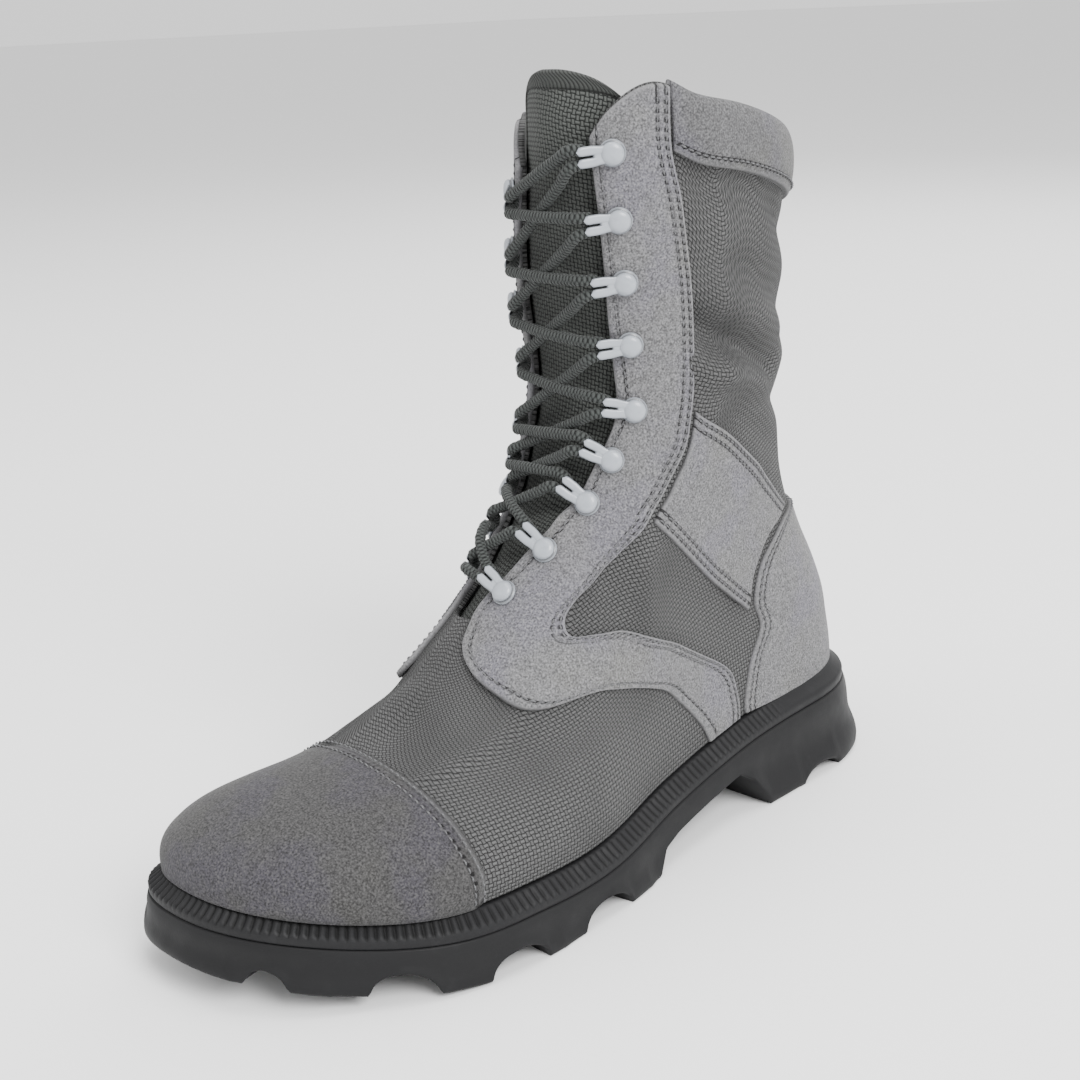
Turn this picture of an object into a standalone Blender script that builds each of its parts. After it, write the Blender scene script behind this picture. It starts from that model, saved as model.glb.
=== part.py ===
"""Left military boot, one named solid per part. Metres, +Z up, toe towards -Y, lateral side +X.
The origin is on the floor under the middle of the heel."""

import bmesh
import bpy
import numpy as np
from mathutils import Matrix, Vector

# Main sizes
RIM_LENGTH = 0.301
BALL_WIDTH = 0.108
HEEL_BACK = 0.041
HEEL_HEIGHT = 0.0335
INSTEP_HEIGHT = 0.148
SHAFT_HEIGHT = 0.272
# Walls and clearances
GAP = 0.0003
SEAT_GAP = 0.0007
WALL = 0.002
TUCK = 0.015
OVERLAY = 0.0014
FEATHER = 0.0054
# Sole
WELT_THICKNESS = 0.004
LEDGE_RISE = 0.0035
RIB_DEPTH = 0.0007
RIB_PITCH = 0.0055
SOLE_STEP = 0.001
TOE_SPRING = 0.012
NOTCH_DEPTH = 0.013
INSOLE_THICKNESS = 0.003
INSOLE_INSET = 0.0115
# Collar, tongue, hooks and lace
COLLAR_DEPTH = 0.021
COLLAR_PAD = 0.0035
COLLAR_CLEARANCE = 0.0006
TONGUE_THICKNESS = 0.0025
TONGUE_CLEARANCE = 0.0007
BINDING_STEP = 0.0006
HOOK_RADIUS = 0.0045
HOOK_HEIGHT = 0.0028
HOOK_REACH = 0.0115
HOOK_LIFT = 0.0022
HOOK_CLEARANCE = 0.0007
PLATE_SEAT = 0.35
PLATE_WIDTH = 0.0068
PLATE_THICKNESS = 0.0012
LACE_RADIUS = 0.0021
LACE_SPACING = 0.0027
CROSSING_GAP = 0.0022
LOW_BAR_GAP = 0.0008
TOP_BAR_GAP = 0.0016

LEDGE_WIDTH = 0.8
TOE_ROUND = 0.27
HEEL_ROUND = 0.15
HEIGHT_PASSES = 12


def table(names, *rows):
    """A short table as a dictionary of named columns."""
    return dict(zip(names.split(), np.array(rows, float).T))


# Rim of the sole: shares of RIM_LENGTH, BALL_WIDTH and HEEL_HEIGHT
FOOT = table(
    "station half_width centre",
    (0.00, 0.372, 0.000),
    (0.15, 0.372, 0.000),
    (0.30, 0.360, 0.020),
    (0.45, 0.362, 0.050),
    (0.58, 0.430, 0.044),
    (0.70, 0.485, 0.004),
    (0.80, 0.500, -0.039),
    (0.90, 0.504, -0.140),
    (1.00, 0.501, -0.234),
)
RIM = table(
    "station height",
    (0.00, 1.000),
    (0.15, 0.991),
    (0.28, 0.940),
    (0.45, 0.740),
    (0.60, 0.575),
    (0.72, 0.612),
    (0.85, 0.666),
    (1.00, 0.900),
)
# Top line of the last over the foot: shares of RIM_LENGTH and INSTEP_HEIGHT
CROWN = table(
    "station height",
    (0.442, 2.027),
    (0.458, 1.351),
    (0.465, 1.149),
    (0.478, 1.000),
    (0.518, 0.845),
    (0.575, 0.697),
    (0.635, 0.578),
    (0.701, 0.471),
    (0.777, 0.410),
    (0.850, 0.394),
    (0.920, 0.392),
    (0.993, 0.391),
)
# Back line, front line and half width of the leg: shares of SHAFT_HEIGHT, RIM_LENGTH and BALL_WIDTH
BACK = table(
    "height station",
    (0.110, 0.0150),
    (0.184, 0.0116),
    (0.239, 0.0199),
    (0.294, 0.0415),
    (0.349, 0.0681),
    (0.404, 0.0880),
    (0.496, 0.1113),
    (0.607, 0.1296),
    (0.735, 0.1312),
    (0.846, 0.1279),
    (1.029, 0.1279),
)
SHIN = table(
    "height station",
    (0.496, 0.4967),
    (0.607, 0.4651),
    (0.735, 0.4718),
    (0.846, 0.4884),
    (0.956, 0.5017),
    (1.029, 0.5050),
)
LEG = table(
    "height half_width",
    (0.331, 0.333),
    (0.404, 0.338),
    (0.496, 0.343),
    (0.607, 0.355),
    (0.735, 0.375),
    (0.846, 0.394),
    (0.956, 0.407),
    (1.029, 0.412),
)
# Top edge of the shaft: angle from the back, heights as shares of SHAFT_HEIGHT
TOP_EDGE = table(
    "angle lateral medial",
    (0, 0.890, 0.890),
    (30, 0.904, 0.904),
    (60, 0.934, 0.923),
    (90, 0.963, 0.938),
    (110, 0.978, 0.949),
    (126, 1.000, 0.956),
    (145, 0.971, 0.919),
    (158, 0.926, 0.893),
    (180, 0.919, 0.893),
)
# Rows of the upper: rise is a plain measure from rim to top edge, height the true share
LEVEL = table(
    "rise height",
    (0.00, 0.000),
    (0.08, 0.045),
    (0.16, 0.100),
    (0.24, 0.150),
    (0.30, 0.190),
    (0.36, 0.225),
    (0.42, 0.265),
    (0.50, 0.340),
    (0.60, 0.460),
    (0.70, 0.580),
    (0.80, 0.710),
    (0.90, 0.850),
    (1.00, 1.000),
)
THROAT_BASE = 0.48
FOOT_RISES = (0.0, 0.05, 0.10, 0.145, 0.185, 0.22, 0.25, 0.28, 0.32, 0.37, 0.42, THROAT_BASE)
LEG_RISES = (0.51, 0.54, 0.57, 0.60, 0.63, 0.665, 0.705, 0.77, 0.84, 0.90, 0.95, 1.0)
# Edges of the throat: angles from the back, each on its own side
THROAT = table(
    "rise lateral medial",
    (0.48, 185.0, 157.0),
    (0.51, 182.2, 157.0),
    (0.54, 178.0, 156.0),
    (0.57, 172.5, 155.0),
    (0.60, 164.5, 154.0),
    (0.64, 157.5, 153.0),
    (0.69, 151.5, 152.5),
    (0.76, 153.0, 152.5),
    (0.82, 153.6, 152.5),
    (0.90, 152.5, 152.5),
    (1.00, 152.6, 152.5),
)
# Edges of the overlays on the lateral side, as angle from the back and rise
EYESTAY = table(
    "back_angle back_rise front_angle front_rise",
    (120.8, 1.040, 151.6, 1.040),
    (121.2, 0.944, 151.4, 0.940),
    (118.5, 0.902, 151.4, 0.902),
    (117.2, 0.860, 152.0, 0.862),
    (115.9, 0.802, 152.6, 0.812),
    (115.9, 0.733, 152.0, 0.755),
    (115.7, 0.667, 150.4, 0.695),
    (115.8, 0.623, 153.8, 0.650),
    (122.4, 0.575, 160.0, 0.611),
    (126.2, 0.547, 165.5, 0.590),
    (132.0, 0.523, 173.5, 0.557),
    (138.8, 0.499, 179.2, 0.522),
    (145.2, 0.484, 182.2, 0.497),
    (147.4, 0.466, 183.0, 0.473),
    (142.8, 0.438, 178.0, 0.434),
    (133.0, 0.422, 160.5, 0.378),
    (119.0, 0.398, 145.5, 0.325),
    (104.5, 0.342, 125.5, 0.308),
    (88.8, 0.248, 101.0, 0.238),
    (72.0, 0.156, 83.8, 0.162),
    (65.3, 0.075, 75.4, 0.075),
    (64.8, -0.050, 73.0, -0.050),
)
WING_TOP = 0.46
MEDIAL_WING_ANGLE = 160.0
TOE_SEAM = table(
    "across station",
    (0.80, 0.768),
    (0.45, 0.767),
    (0.25, 0.771),
    (0.05, 0.770),
    (-0.18, 0.764),
    (-0.45, 0.753),
    (-0.90, 0.740),
)
COUNTER = table(
    "rise angle",
    (-0.050, 63.2),
    (0.044, 63.2),
    (0.138, 63.8),
    (0.222, 67.2),
    (0.297, 70.6),
    (0.389, 68.4),
    (0.439, 62.4),
    (0.478, 50.2),
    (0.491, 29.5),
)
STRAP_UPPER = table("angle rise", (114.0, 0.672), (94.7, 0.639), (80.5, 0.605), (61.0, 0.553), (46.5, 0.503))
STRAP_LOWER = table("angle rise", (124.0, 0.541), (110.3, 0.509), (94.7, 0.447), (86.5, 0.399), (73.0, 0.285))
STRAP_FRONT = table("angle rise", (114.0, 0.672), (114.2, 0.624), (119.5, 0.577), (124.0, 0.541))
STRAP_BACK = table("angle rise", (46.5, 0.503), (53.0, 0.487), (65.5, 0.448), (70.6, 0.395), (73.0, 0.285))
STRIP_HALF_ANGLE = 8.0
# Hooks: places of the two rows
HOOKS = table(
    "rise lateral medial",
    (0.514, 175.5, 150.0),
    (0.559, 166.0, 149.0),
    (0.601, 156.0, 148.0),
    (0.641, 148.9, 147.0),
    (0.691, 143.2, 146.0),
    (0.770, 144.8, 146.0),
    (0.838, 144.8, 146.0),
    (0.900, 144.4, 146.0),
    (0.962, 144.4, 146.0),
)
# Tongue: heights as shares of SHAFT_HEIGHT, centre and half angle round the leg
TONGUE = table(
    "height centre half_angle",
    (0.309, 192.0, 22.0),
    (0.345, 192.0, 25.0),
    (0.385, 191.0, 30.0),
    (0.430, 188.0, 36.0),
    (0.480, 185.0, 40.0),
    (0.550, 182.0, 42.0),
    (0.630, 180.5, 42.0),
    (0.720, 180.0, 43.0),
    (0.820, 180.0, 44.0),
    (0.920, 180.0, 45.0),
    (0.965, 180.0, 44.0),
    (0.990, 179.0, 41.0),
    (1.005, 178.0, 37.0),
    (1.018, 177.0, 28.0),
)
BINDING_START = 0.98
# Side of the sole: shares of the wall's height and of its flare
SOLE_SIDE = table("down flare", (0.0, 0.0), (0.07, 0.12), (0.50, 0.42), (0.93, 0.97), (1.0, 0.90))
FLARE = table("station width", (0.0, 0.0060), (0.2, 0.0055), (0.45, 0.0030), (0.75, 0.0022), (1.0, 0.0030))
# Underside of the waist: stations, heights as shares of HEEL_HEIGHT
SHANK = table(
    "station height",
    (0.508, -0.20),
    (0.502, 0.04),
    (0.486, 0.25),
    (0.455, 0.33),
    (0.375, 0.45),
    (0.322, 0.53),
    (0.300, 0.40),
    (0.271, 0.00),
    (0.262, -0.20),
)
# Notches between the lugs: station of the middle, length as a share of RIM_LENGTH
NOTCHES = table(
    "station length height",
    (0.158, 0.074, 0.0052),
    (0.608, 0.082, 0.0075),
    (0.747, 0.076, 0.0078),
    (0.866, 0.072, 0.0075),
    (0.968, 0.046, 0.0060),
)
COLOURS = {
    "suede": (0.33, 0.32, 0.31, 1.0),
    "toe_suede": (0.16, 0.155, 0.145, 1.0),
    "nylon": (0.11, 0.11, 0.105, 1.0),
    "tongue_cloth": (0.055, 0.06, 0.055, 1.0),
    "rubber": (0.07, 0.07, 0.068, 1.0),
    "insole_cloth": (0.06, 0.06, 0.06, 1.0),
    "hook_paint": (0.55, 0.58, 0.62, 1.0),
    "lace_cord": (0.06, 0.065, 0.06, 1.0),
}


def smooth(at, places, values):
    """Cubic through the rows of a table, flat beyond its ends."""
    slope = np.gradient(values, places)
    at = np.clip(at, places[0], places[-1])
    k = np.clip(np.searchsorted(places, at, side="right") - 1, 0, len(places) - 2)
    width = places[k + 1] - places[k]
    t = (at - places[k]) / width
    held = (1 + 2 * t) * (1 - t) ** 2 * values[k] + t * t * (3 - 2 * t) * values[k + 1]
    return held + t * (1 - t) ** 2 * width * slope[k] + t * t * (t - 1) * width * slope[k + 1]


def ease(t):
    """Soft step from 0 to 1."""
    t = np.clip(t, 0, 1)
    return t * t * (3 - 2 * t)


def station(y):
    return (HEEL_BACK - y) / RIM_LENGTH


def along(share):
    """The y of a station."""
    return HEEL_BACK - share * RIM_LENGTH


def rim_height(y):
    return HEEL_HEIGHT * smooth(station(y), RIM["station"], RIM["height"])


def seat_height(y):
    """Height of the ledge where it meets the upper."""
    return rim_height(y) + LEDGE_RISE


def half_width(y):
    return BALL_WIDTH * smooth(station(y), FOOT["station"], FOOT["half_width"])


def centre(y):
    return BALL_WIDTH * smooth(station(y), FOOT["station"], FOOT["centre"])


def crown_height(y):
    return INSTEP_HEIGHT * smooth(station(y), CROWN["station"], CROWN["height"])


TIP = along(1.0) + FEATHER
TOE_FORM = 3.1
CROWN_FORM = 2.58
PLAN_FORM = 2.25
LEG_FORM = 2.2
OUT_FORM = 2.35
CROWN_SKEW = 0.042


def toe_share(y):
    """0 behind the toe's rounding, 1 at the tip."""
    return np.clip((TIP + TOE_ROUND * RIM_LENGTH - y) / (TOE_ROUND * RIM_LENGTH), 0, 1)


def ridge(y):
    """Height of the last's top line, rounded down to the rim at the tip."""
    low = seat_height(y)
    rounding = np.clip(1 - toe_share(y) ** TOE_FORM, 0, 1) ** (1 / CROWN_FORM)
    return low + (crown_height(y) - low) * rounding


RIDGE_Y = np.linspace(TIP, along(0.465), 400)
RIDGE_Z = np.maximum.accumulate(ridge(RIDGE_Y))
SHIN_START = 0.46
SHIN_BLEND = 0.092


def front_line(z):
    """The y of the boot's front at a height: toe and instep below, shin above."""
    share = z / SHAFT_HEIGHT
    foot = np.interp(z, RIDGE_Z, RIDGE_Y)
    shin = along(smooth(share, SHIN["height"], SHIN["station"]))
    k = ease((share - SHIN_START) / SHIN_BLEND)
    return foot * (1 - k) + shin * k


def back_line(z):
    return along(smooth(z / SHAFT_HEIGHT, BACK["height"], BACK["station"]))


def leg_share(z):
    """0 where the section is the foot's, 1 where it is the leg's."""
    return ease((z / SHAFT_HEIGHT - 0.3125) / 0.239)


def section_width(y, z):
    """Half width of the last at a length and a height."""
    low = seat_height(y)
    q = np.clip((z - low) / (crown_height(y) - low), 0, 1)
    heel = np.clip((y - back_line(z) + HEEL_ROUND * RIM_LENGTH) / (HEEL_ROUND * RIM_LENGTH), 0, 1)
    plan = np.clip(1 - toe_share(y) ** TOE_FORM - q**CROWN_FORM, 0, 1) ** (1 / PLAN_FORM)
    plan = plan * (1 - heel**LEG_FORM) ** (1 / LEG_FORM)
    foot = (half_width(y) - FEATHER) * plan * (1 + 0.03 * np.sin(np.pi * np.clip(q / 0.5, 0, 1)))
    middle = (back_line(z) + front_line(z)) / 2
    reach = (back_line(z) - front_line(z)) / 2
    e = np.clip(np.abs(y - middle) / reach, 0, 1)
    leg = BALL_WIDTH * smooth(z / SHAFT_HEIGHT, LEG["height"], LEG["half_width"])
    leg = leg * (1 - e**LEG_FORM) ** (1 / LEG_FORM)
    k = leg_share(z)
    return foot * (1 - k) + leg * k


def section_centre(y, z):
    low = seat_height(y)
    q = np.clip((z - low) / (crown_height(y) - low), 0, 1)
    share = z / SHAFT_HEIGHT
    k = leg_share(z)
    lean = ease((share - 0.11) / 0.11) * (1 - ease((share - 0.423) / 0.22))
    return (centre(y) - CROWN_SKEW * BALL_WIDTH * q**2) * (1 - k) + 0.009 * BALL_WIDTH * k - 0.028 * BALL_WIDTH * lean


def at_height(angle, z):
    """Points of the boot's outer form at an angle from the back (degrees) and a height."""
    turn = np.radians(angle)
    y = (back_line(z) + front_line(z)) / 2 + (back_line(z) - front_line(z)) / 2 * np.cos(turn)
    x = section_centre(y, z) + np.sign(np.sin(turn)) * section_width(y, z)
    place = angle % 360
    x = x + TUCK * ease((z / SHAFT_HEIGHT - 0.70) / 0.30) * ease((place - 152) / 56) * ease((300 - place) / 90)
    return np.stack([x, y, z + 0 * y], axis=-1)


def shell(angle, z, offset=0.0):
    """at_height, moved out along the form's normal."""
    angle, z = np.broadcast_arrays(np.asarray(angle, float), np.asarray(z, float))
    across = at_height(angle + 3.0, z) - at_height(angle - 3.0, z)
    up = at_height(angle, z + 0.001) - at_height(angle, z - 0.001)
    normal = np.cross(up, across)
    normal /= np.linalg.norm(normal, axis=-1, keepdims=True)
    return at_height(angle, z) + normal * np.asarray(offset, float)[..., None]


def top_height(angle):
    """Height of the shaft's top edge at an angle from the back."""
    turn = (np.asarray(angle, float) + 180) % 360 - 180
    lateral = smooth(np.abs(turn), TOP_EDGE["angle"], TOP_EDGE["lateral"])
    medial = smooth(np.abs(turn), TOP_EDGE["angle"], TOP_EDGE["medial"])
    k = ease((turn + 20) / 40)
    front = ease((np.abs(turn) - 160) / 20) * 0.5
    k = k * (1 - front) + (1 - k) * front
    return SHAFT_HEIGHT * (medial * (1 - k) + lateral * k)


def height_at(angle, rise):
    """Height of a rise at an angle: the rim and the top edge are its ends."""
    share = smooth(rise, LEVEL["rise"], LEVEL["height"])
    share = share + 0.56 * np.minimum(rise, 0) + 1.4 * np.maximum(rise - 1, 0)
    top = top_height(angle)
    z = np.full(np.broadcast(angle, rise).shape, HEEL_HEIGHT)
    for _ in range(HEIGHT_PASSES):
        middle = (back_line(z) + front_line(z)) / 2
        y = middle + (back_line(z) - front_line(z)) / 2 * np.cos(np.radians(angle))
        low = seat_height(y) + SEAT_GAP
        z = low + (top - low) * share
    return z


def surface(angle, rise, offset=0.0):
    """Points of the upper's outer face at an angle and a rise, moved out by an offset."""
    angle, rise = np.broadcast_arrays(np.asarray(angle, float), np.asarray(rise, float))
    return shell(angle, height_at(angle, rise), offset)


def rise_at(angle, z):
    """The rise of a height at an angle on the shaft."""
    rises = np.linspace(0.3, 1, 71)
    return float(np.interp(z, height_at(angle, rises), rises))


def add_object(name, points, faces, home):
    """A mesh object from points and faces, with its normals turned outwards."""
    mesh = bpy.data.meshes.new(name)
    mesh.from_pydata([tuple(p) for p in np.reshape(points, (-1, 3))], [], faces)
    shape = bmesh.new()
    shape.from_mesh(mesh)
    bmesh.ops.recalc_face_normals(shape, faces=shape.faces)
    shape.to_mesh(mesh)
    shape.free()
    mesh.shade_smooth()
    made = bpy.data.objects.new(name, mesh)
    home.objects.link(made)
    return made


def grid_faces(rows, columns, start=0, closed=False):
    """Triangles of a grid of points, row by row, all split along the same diagonal."""
    last = columns if closed else columns - 1
    faces = []
    for i in range(rows - 1):
        for j in range(last):
            a = start + i * columns + j
            b = start + i * columns + (j + 1) % columns
            faces += [(a, b, b + columns), (a, b + columns, a + columns)]
    return faces


def ladder(count, start=0):
    """Faces that span a ring of an even number of points, rung by rung."""
    half = count // 2
    faces = [(start, start + 1, start + count - 1)]
    faces += [(start + i, start + i + 1, start + count - i - 1, start + count - i) for i in range(1, half - 1)]
    faces.append((start + half - 1, start + half, start + half + 1))
    return faces


def add_loft(name, rings, home):
    """A closed solid through rings of equal, even count."""
    count = len(rings[0])
    faces = grid_faces(len(rings), count, closed=True)
    faces += ladder(count) + ladder(count, (len(rings) - 1) * count)
    return add_object(name, np.concatenate(rings), faces, home)


def add_slab(name, low, high, home):
    """A closed solid between two grids of points of the same shape."""
    rows, columns = low.shape[:2]
    size = rows * columns
    faces = grid_faces(rows, columns) + grid_faces(rows, columns, size)
    ends = [j for j in range(columns)] + [i * columns + columns - 1 for i in range(1, rows)]
    ends += [size - 1 - j for j in range(1, columns)] + [i * columns for i in range(rows - 2, 0, -1)]
    faces += [(a, b, b + size, a + size) for a, b in zip(ends, ends[1:] + ends[:1])]
    return add_object(name, np.concatenate([low.reshape(-1, 3), high.reshape(-1, 3)]), faces, home)


def boolean(target, other, operation):
    cut = target.modifiers.new(other.name, "BOOLEAN")
    cut.operation = operation
    cut.solver = "EXACT"
    cut.object = other


def paint(target, slot, roughness=0.85, metallic=0.0):
    """The object's own Principled material."""
    material = bpy.data.materials.new(slot)
    material.use_nodes = True
    shader = material.node_tree.nodes["Principled BSDF"]
    shader.inputs["Base Color"].default_value = COLOURS[slot]
    shader.inputs["Roughness"].default_value = roughness
    shader.inputs["Metallic"].default_value = metallic
    target.data.materials.clear()
    target.data.materials.append(material)


def outline(stops, offset=0.0):
    """Points round the rim in plan: out by an offset, at shares of each half's length from heel to toe."""
    t = np.linspace(0, np.pi, 241)
    back = HEEL_BACK
    front = along(1.0)
    y = (back + front) / 2 + (back - front) / 2 * np.cos(t)
    toe = np.clip((front + TOE_ROUND * RIM_LENGTH - y) / (TOE_ROUND * RIM_LENGTH), 0, 1)
    heel = np.clip((y - back + HEEL_ROUND * RIM_LENGTH) / (HEEL_ROUND * RIM_LENGTH), 0, 1)
    wide = half_width(y) * (1 - toe**OUT_FORM) ** (1 / OUT_FORM) * (1 - heel**LEG_FORM) ** (1 / LEG_FORM)
    halves = []
    for side in (1, -1):
        line = np.column_stack([centre(y) + side * wide, y])
        length = np.concatenate([[0], np.cumsum(np.linalg.norm(np.diff(line, axis=0), axis=1))])
        at = np.asarray(stops) * length[-1]
        place = np.column_stack([np.interp(at, length, line[:, i]) for i in (0, 1)])
        near = [np.interp(np.clip(at + d, 0, length[-1]), length, line[:, i]) for d in (-0.002, 0.002) for i in (0, 1)]
        run = np.column_stack([near[2] - near[0], near[3] - near[1]])
        run[0] = (1, 0) if side > 0 else (-1, 0)
        run[-1] = (-1, 0) if side > 0 else (1, 0)
        normal = np.column_stack([-run[:, 1], run[:, 0]]) * side
        normal /= np.linalg.norm(normal, axis=1, keepdims=True)
        halves.append(place + normal * np.reshape(np.broadcast_to(offset, len(at)), (-1, 1)))
    return np.concatenate([halves[0], halves[1][-2:0:-1]])


def at_rim(plan, drop=0.0):
    """Lifts plan points to the rim's height, less a drop."""
    return np.column_stack([plan, rim_height(plan[:, 1]) - drop])


def toe_spring(place):
    """How far the underside is off the floor at a station."""
    return TOE_SPRING * np.clip((place - 0.72) / 0.28, 0, 1) ** 2


def make_outsole(home, tools):
    """Bottom unit: flared side with a step at its top, toe spring, heel, arch and notched lugs."""
    stops = np.linspace(0, 1, 33)
    plan = outline(stops)
    place = station(plan[:, 1])
    flare = smooth(place, FLARE["station"], FLARE["width"])[: len(stops)]
    spring = toe_spring(place)
    rings = []
    for down, out in zip(SOLE_SIDE["down"], SOLE_SIDE["flare"]):
        ring = outline(stops, SOLE_STEP + out * flare)
        top = rim_height(ring[:, 1]) - WELT_THICKNESS - GAP
        rings.append(np.column_stack([ring, top + (spring - top) * down]))
    sole = add_loft("outsole", rings, home)
    wide = BALL_WIDTH
    low, high = [], []
    for share, height in zip(SHANK["station"], SHANK["height"]):
        low.append((-wide, along(share), height * HEEL_HEIGHT))
        high.append((wide, along(share), height * HEEL_HEIGHT))
    count = len(low)
    faces = [tuple(range(count)), tuple(range(2 * count - 1, count - 1, -1))]
    faces += [(i, (i + 1) % count, (i + 1) % count + count, i + count) for i in range(count)]
    arch = add_object("arch_cutter", np.array(low + high), faces, tools)
    boolean(sole, arch, "DIFFERENCE")
    for number, (share, length, height) in enumerate(zip(*(NOTCHES[k] for k in ("station", "length", "height")))):
        for side in (1, -1):
            boolean(sole, notch_cutter(f"notch_{number}_{side}", share, length, height, side, tools), "DIFFERENCE")
    paint(sole, "rubber")
    return sole


def notch_cutter(name, share, length, height, side, tools):
    """A low rounded cutter that runs into the sole's edge square to its outline."""
    stops = np.linspace(0, 1, 201)
    ring = outline(stops)
    half = ring[:201] if side > 0 else np.concatenate([ring[:1], ring[:200:-1], ring[200:201]])
    k = int(np.argmin(np.abs(station(half[:, 1]) - share)))
    k = min(max(k, 4), 196)
    run = half[k + 3] - half[k - 3]
    run = run / np.linalg.norm(run)
    inwards = np.array([run[1], -run[0]]) * side
    bmesh_shape = bmesh.new()
    bmesh.ops.create_cone(
        bmesh_shape, cap_ends=True, segments=14, radius1=1.0, radius2=1.0, depth=2 * NOTCH_DEPTH
    )
    mesh = bpy.data.meshes.new(name)
    bmesh_shape.to_mesh(mesh)
    bmesh_shape.free()
    cutter = bpy.data.objects.new(name, mesh)
    tools.objects.link(cutter)
    axis = Vector((inwards[0], inwards[1], 0))
    ahead = Vector((run[0], run[1], 0))
    turn = Matrix((ahead * (length * RIM_LENGTH / 2), Vector((0, 0, height)), axis)).transposed()
    if turn.determinant() < 0:
        turn = Matrix((ahead * (-length * RIM_LENGTH / 2), Vector((0, 0, height)), axis)).transposed()
    base = Vector((half[k, 0], half[k, 1], float(toe_spring(share))))
    mesh.transform(Matrix.Translation(base) @ turn.to_4x4())
    return cutter


def make_welt(home):
    """Ledge plate between sole and upper, with upright ribs from the toe to the waist."""
    half_girth = 1.17 * RIM_LENGTH
    ribs = round(0.80 * half_girth / RIB_PITCH)
    stops = np.concatenate([np.linspace(0, 0.2, 9)[:-1], np.linspace(0.2, 1, 2 * ribs + 1)])
    depth = np.zeros(len(stops))
    depth[8::2] = RIB_DEPTH / 2
    depth[9::2] = -RIB_DEPTH / 2
    plan = outline(stops, depth)
    inner = outline(stops, LEDGE_WIDTH * -FEATHER)
    welt = add_loft("welt", [at_rim(plan, WELT_THICKNESS), at_rim(plan), at_rim(inner, -LEDGE_RISE)], home)
    paint(welt, "rubber")
    return welt


def make_insole(home):
    plan = outline(np.linspace(0, 1, 25), -INSOLE_INSET)
    low = -LEDGE_RISE - GAP
    insole = add_loft("insole", [at_rim(plan, low), at_rim(plan, low - INSOLE_THICKNESS)], home)
    paint(insole, "insole_cloth")
    return insole


def row_angles(rise):
    """Angles of the upper's columns in a row: medial side, lateral side, then the throat's gap."""
    lateral = smooth(rise, THROAT["rise"], THROAT["lateral"])
    medial = smooth(rise, THROAT["rise"], THROAT["medial"])
    left = np.linspace(-medial, 0, SIDE_COLUMNS + 1)[:-1]
    right = np.linspace(0, lateral, SIDE_COLUMNS + 1)
    gap = np.linspace(lateral, 360 - medial, GAP_COLUMNS + 1)[1:-1]
    return np.concatenate([left, right, gap])


SIDE_COLUMNS = 14
GAP_COLUMNS = 3
COLUMNS = 2 * SIDE_COLUMNS + GAP_COLUMNS


def make_upper(home):
    """One wall from the rim to the top edge, open at the collar, the throat and underneath."""
    rises = FOOT_RISES + LEG_RISES
    points = np.concatenate([surface(row_angles(rise), rise) for rise in rises])
    faces = []
    for i in range(len(rises) - 1):
        for j in range(COLUMNS):
            if j >= 2 * SIDE_COLUMNS and rises[i] >= THROAT_BASE:
                continue
            a = i * COLUMNS + j
            b = i * COLUMNS + (j + 1) % COLUMNS
            faces += [(a, b, b + COLUMNS), (a, b + COLUMNS, a + COLUMNS)]
    used = sorted({corner for face in faces for corner in face})
    place = {old: new for new, old in enumerate(used)}
    upper = add_object("upper", points[used], [tuple(place[c] for c in face) for face in faces], home)
    face_outwards(upper)
    wall = upper.modifiers.new("wall", "SOLIDIFY")
    wall.thickness = WALL
    wall.offset = -1
    paint(upper, "nylon")
    return upper


def face_outwards(target):
    """Turns an open sheet's faces away from the boot's middle."""
    shape = bmesh.new()
    shape.from_mesh(target.data)
    shape.faces.ensure_lookup_table()
    middle = Vector((0, 0, SHAFT_HEIGHT / 2))
    away = sum((face.calc_center_median() - middle).dot(face.normal) * face.calc_area() for face in shape.faces)
    if away < 0:
        bmesh.ops.reverse_faces(shape, faces=shape.faces)
    shape.to_mesh(target.data)
    shape.free()


def add_form(name, offset, rises, home):
    """The upper's function as a closed body, moved out by an offset."""
    rings = []
    for rise in rises:
        ring = surface(row_angles(rise), rise, offset)
        if rise == 0 and rises[0] == 0:
            ring[:, 2] = np.maximum(ring[:, 2], seat_height(ring[:, 1]) + SEAT_GAP)
        rings.append(ring)
    rings = [np.roll(ring, -SIDE_COLUMNS, axis=0) for ring in rings]
    count = COLUMNS
    faces = grid_faces(len(rings), count, closed=True)
    for start in (0, (len(rings) - 1) * count):
        faces += [(start, start + 1, start + count - 1)]
        half = count // 2
        faces += [(start + i, start + i + 1, start + count - i - 1, start + count - i) for i in range(1, half)]
    return add_object(name, np.concatenate(rings), faces, home)


def cutter_grid(first, last, across, rows):
    """Angles and rises between two edges that a table gives side by side."""
    t = np.linspace(0, len(first[0]) - 1, rows)
    places = np.arange(len(first[0]), dtype=float)
    edge_a = np.stack([smooth(t, places, column) for column in first], axis=-1)
    edge_b = np.stack([smooth(t, places, column) for column in last], axis=-1)
    share = np.linspace(0, 1, across)[None, :, None]
    return edge_a[:, None] * (1 - share) + edge_b[:, None] * share


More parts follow.
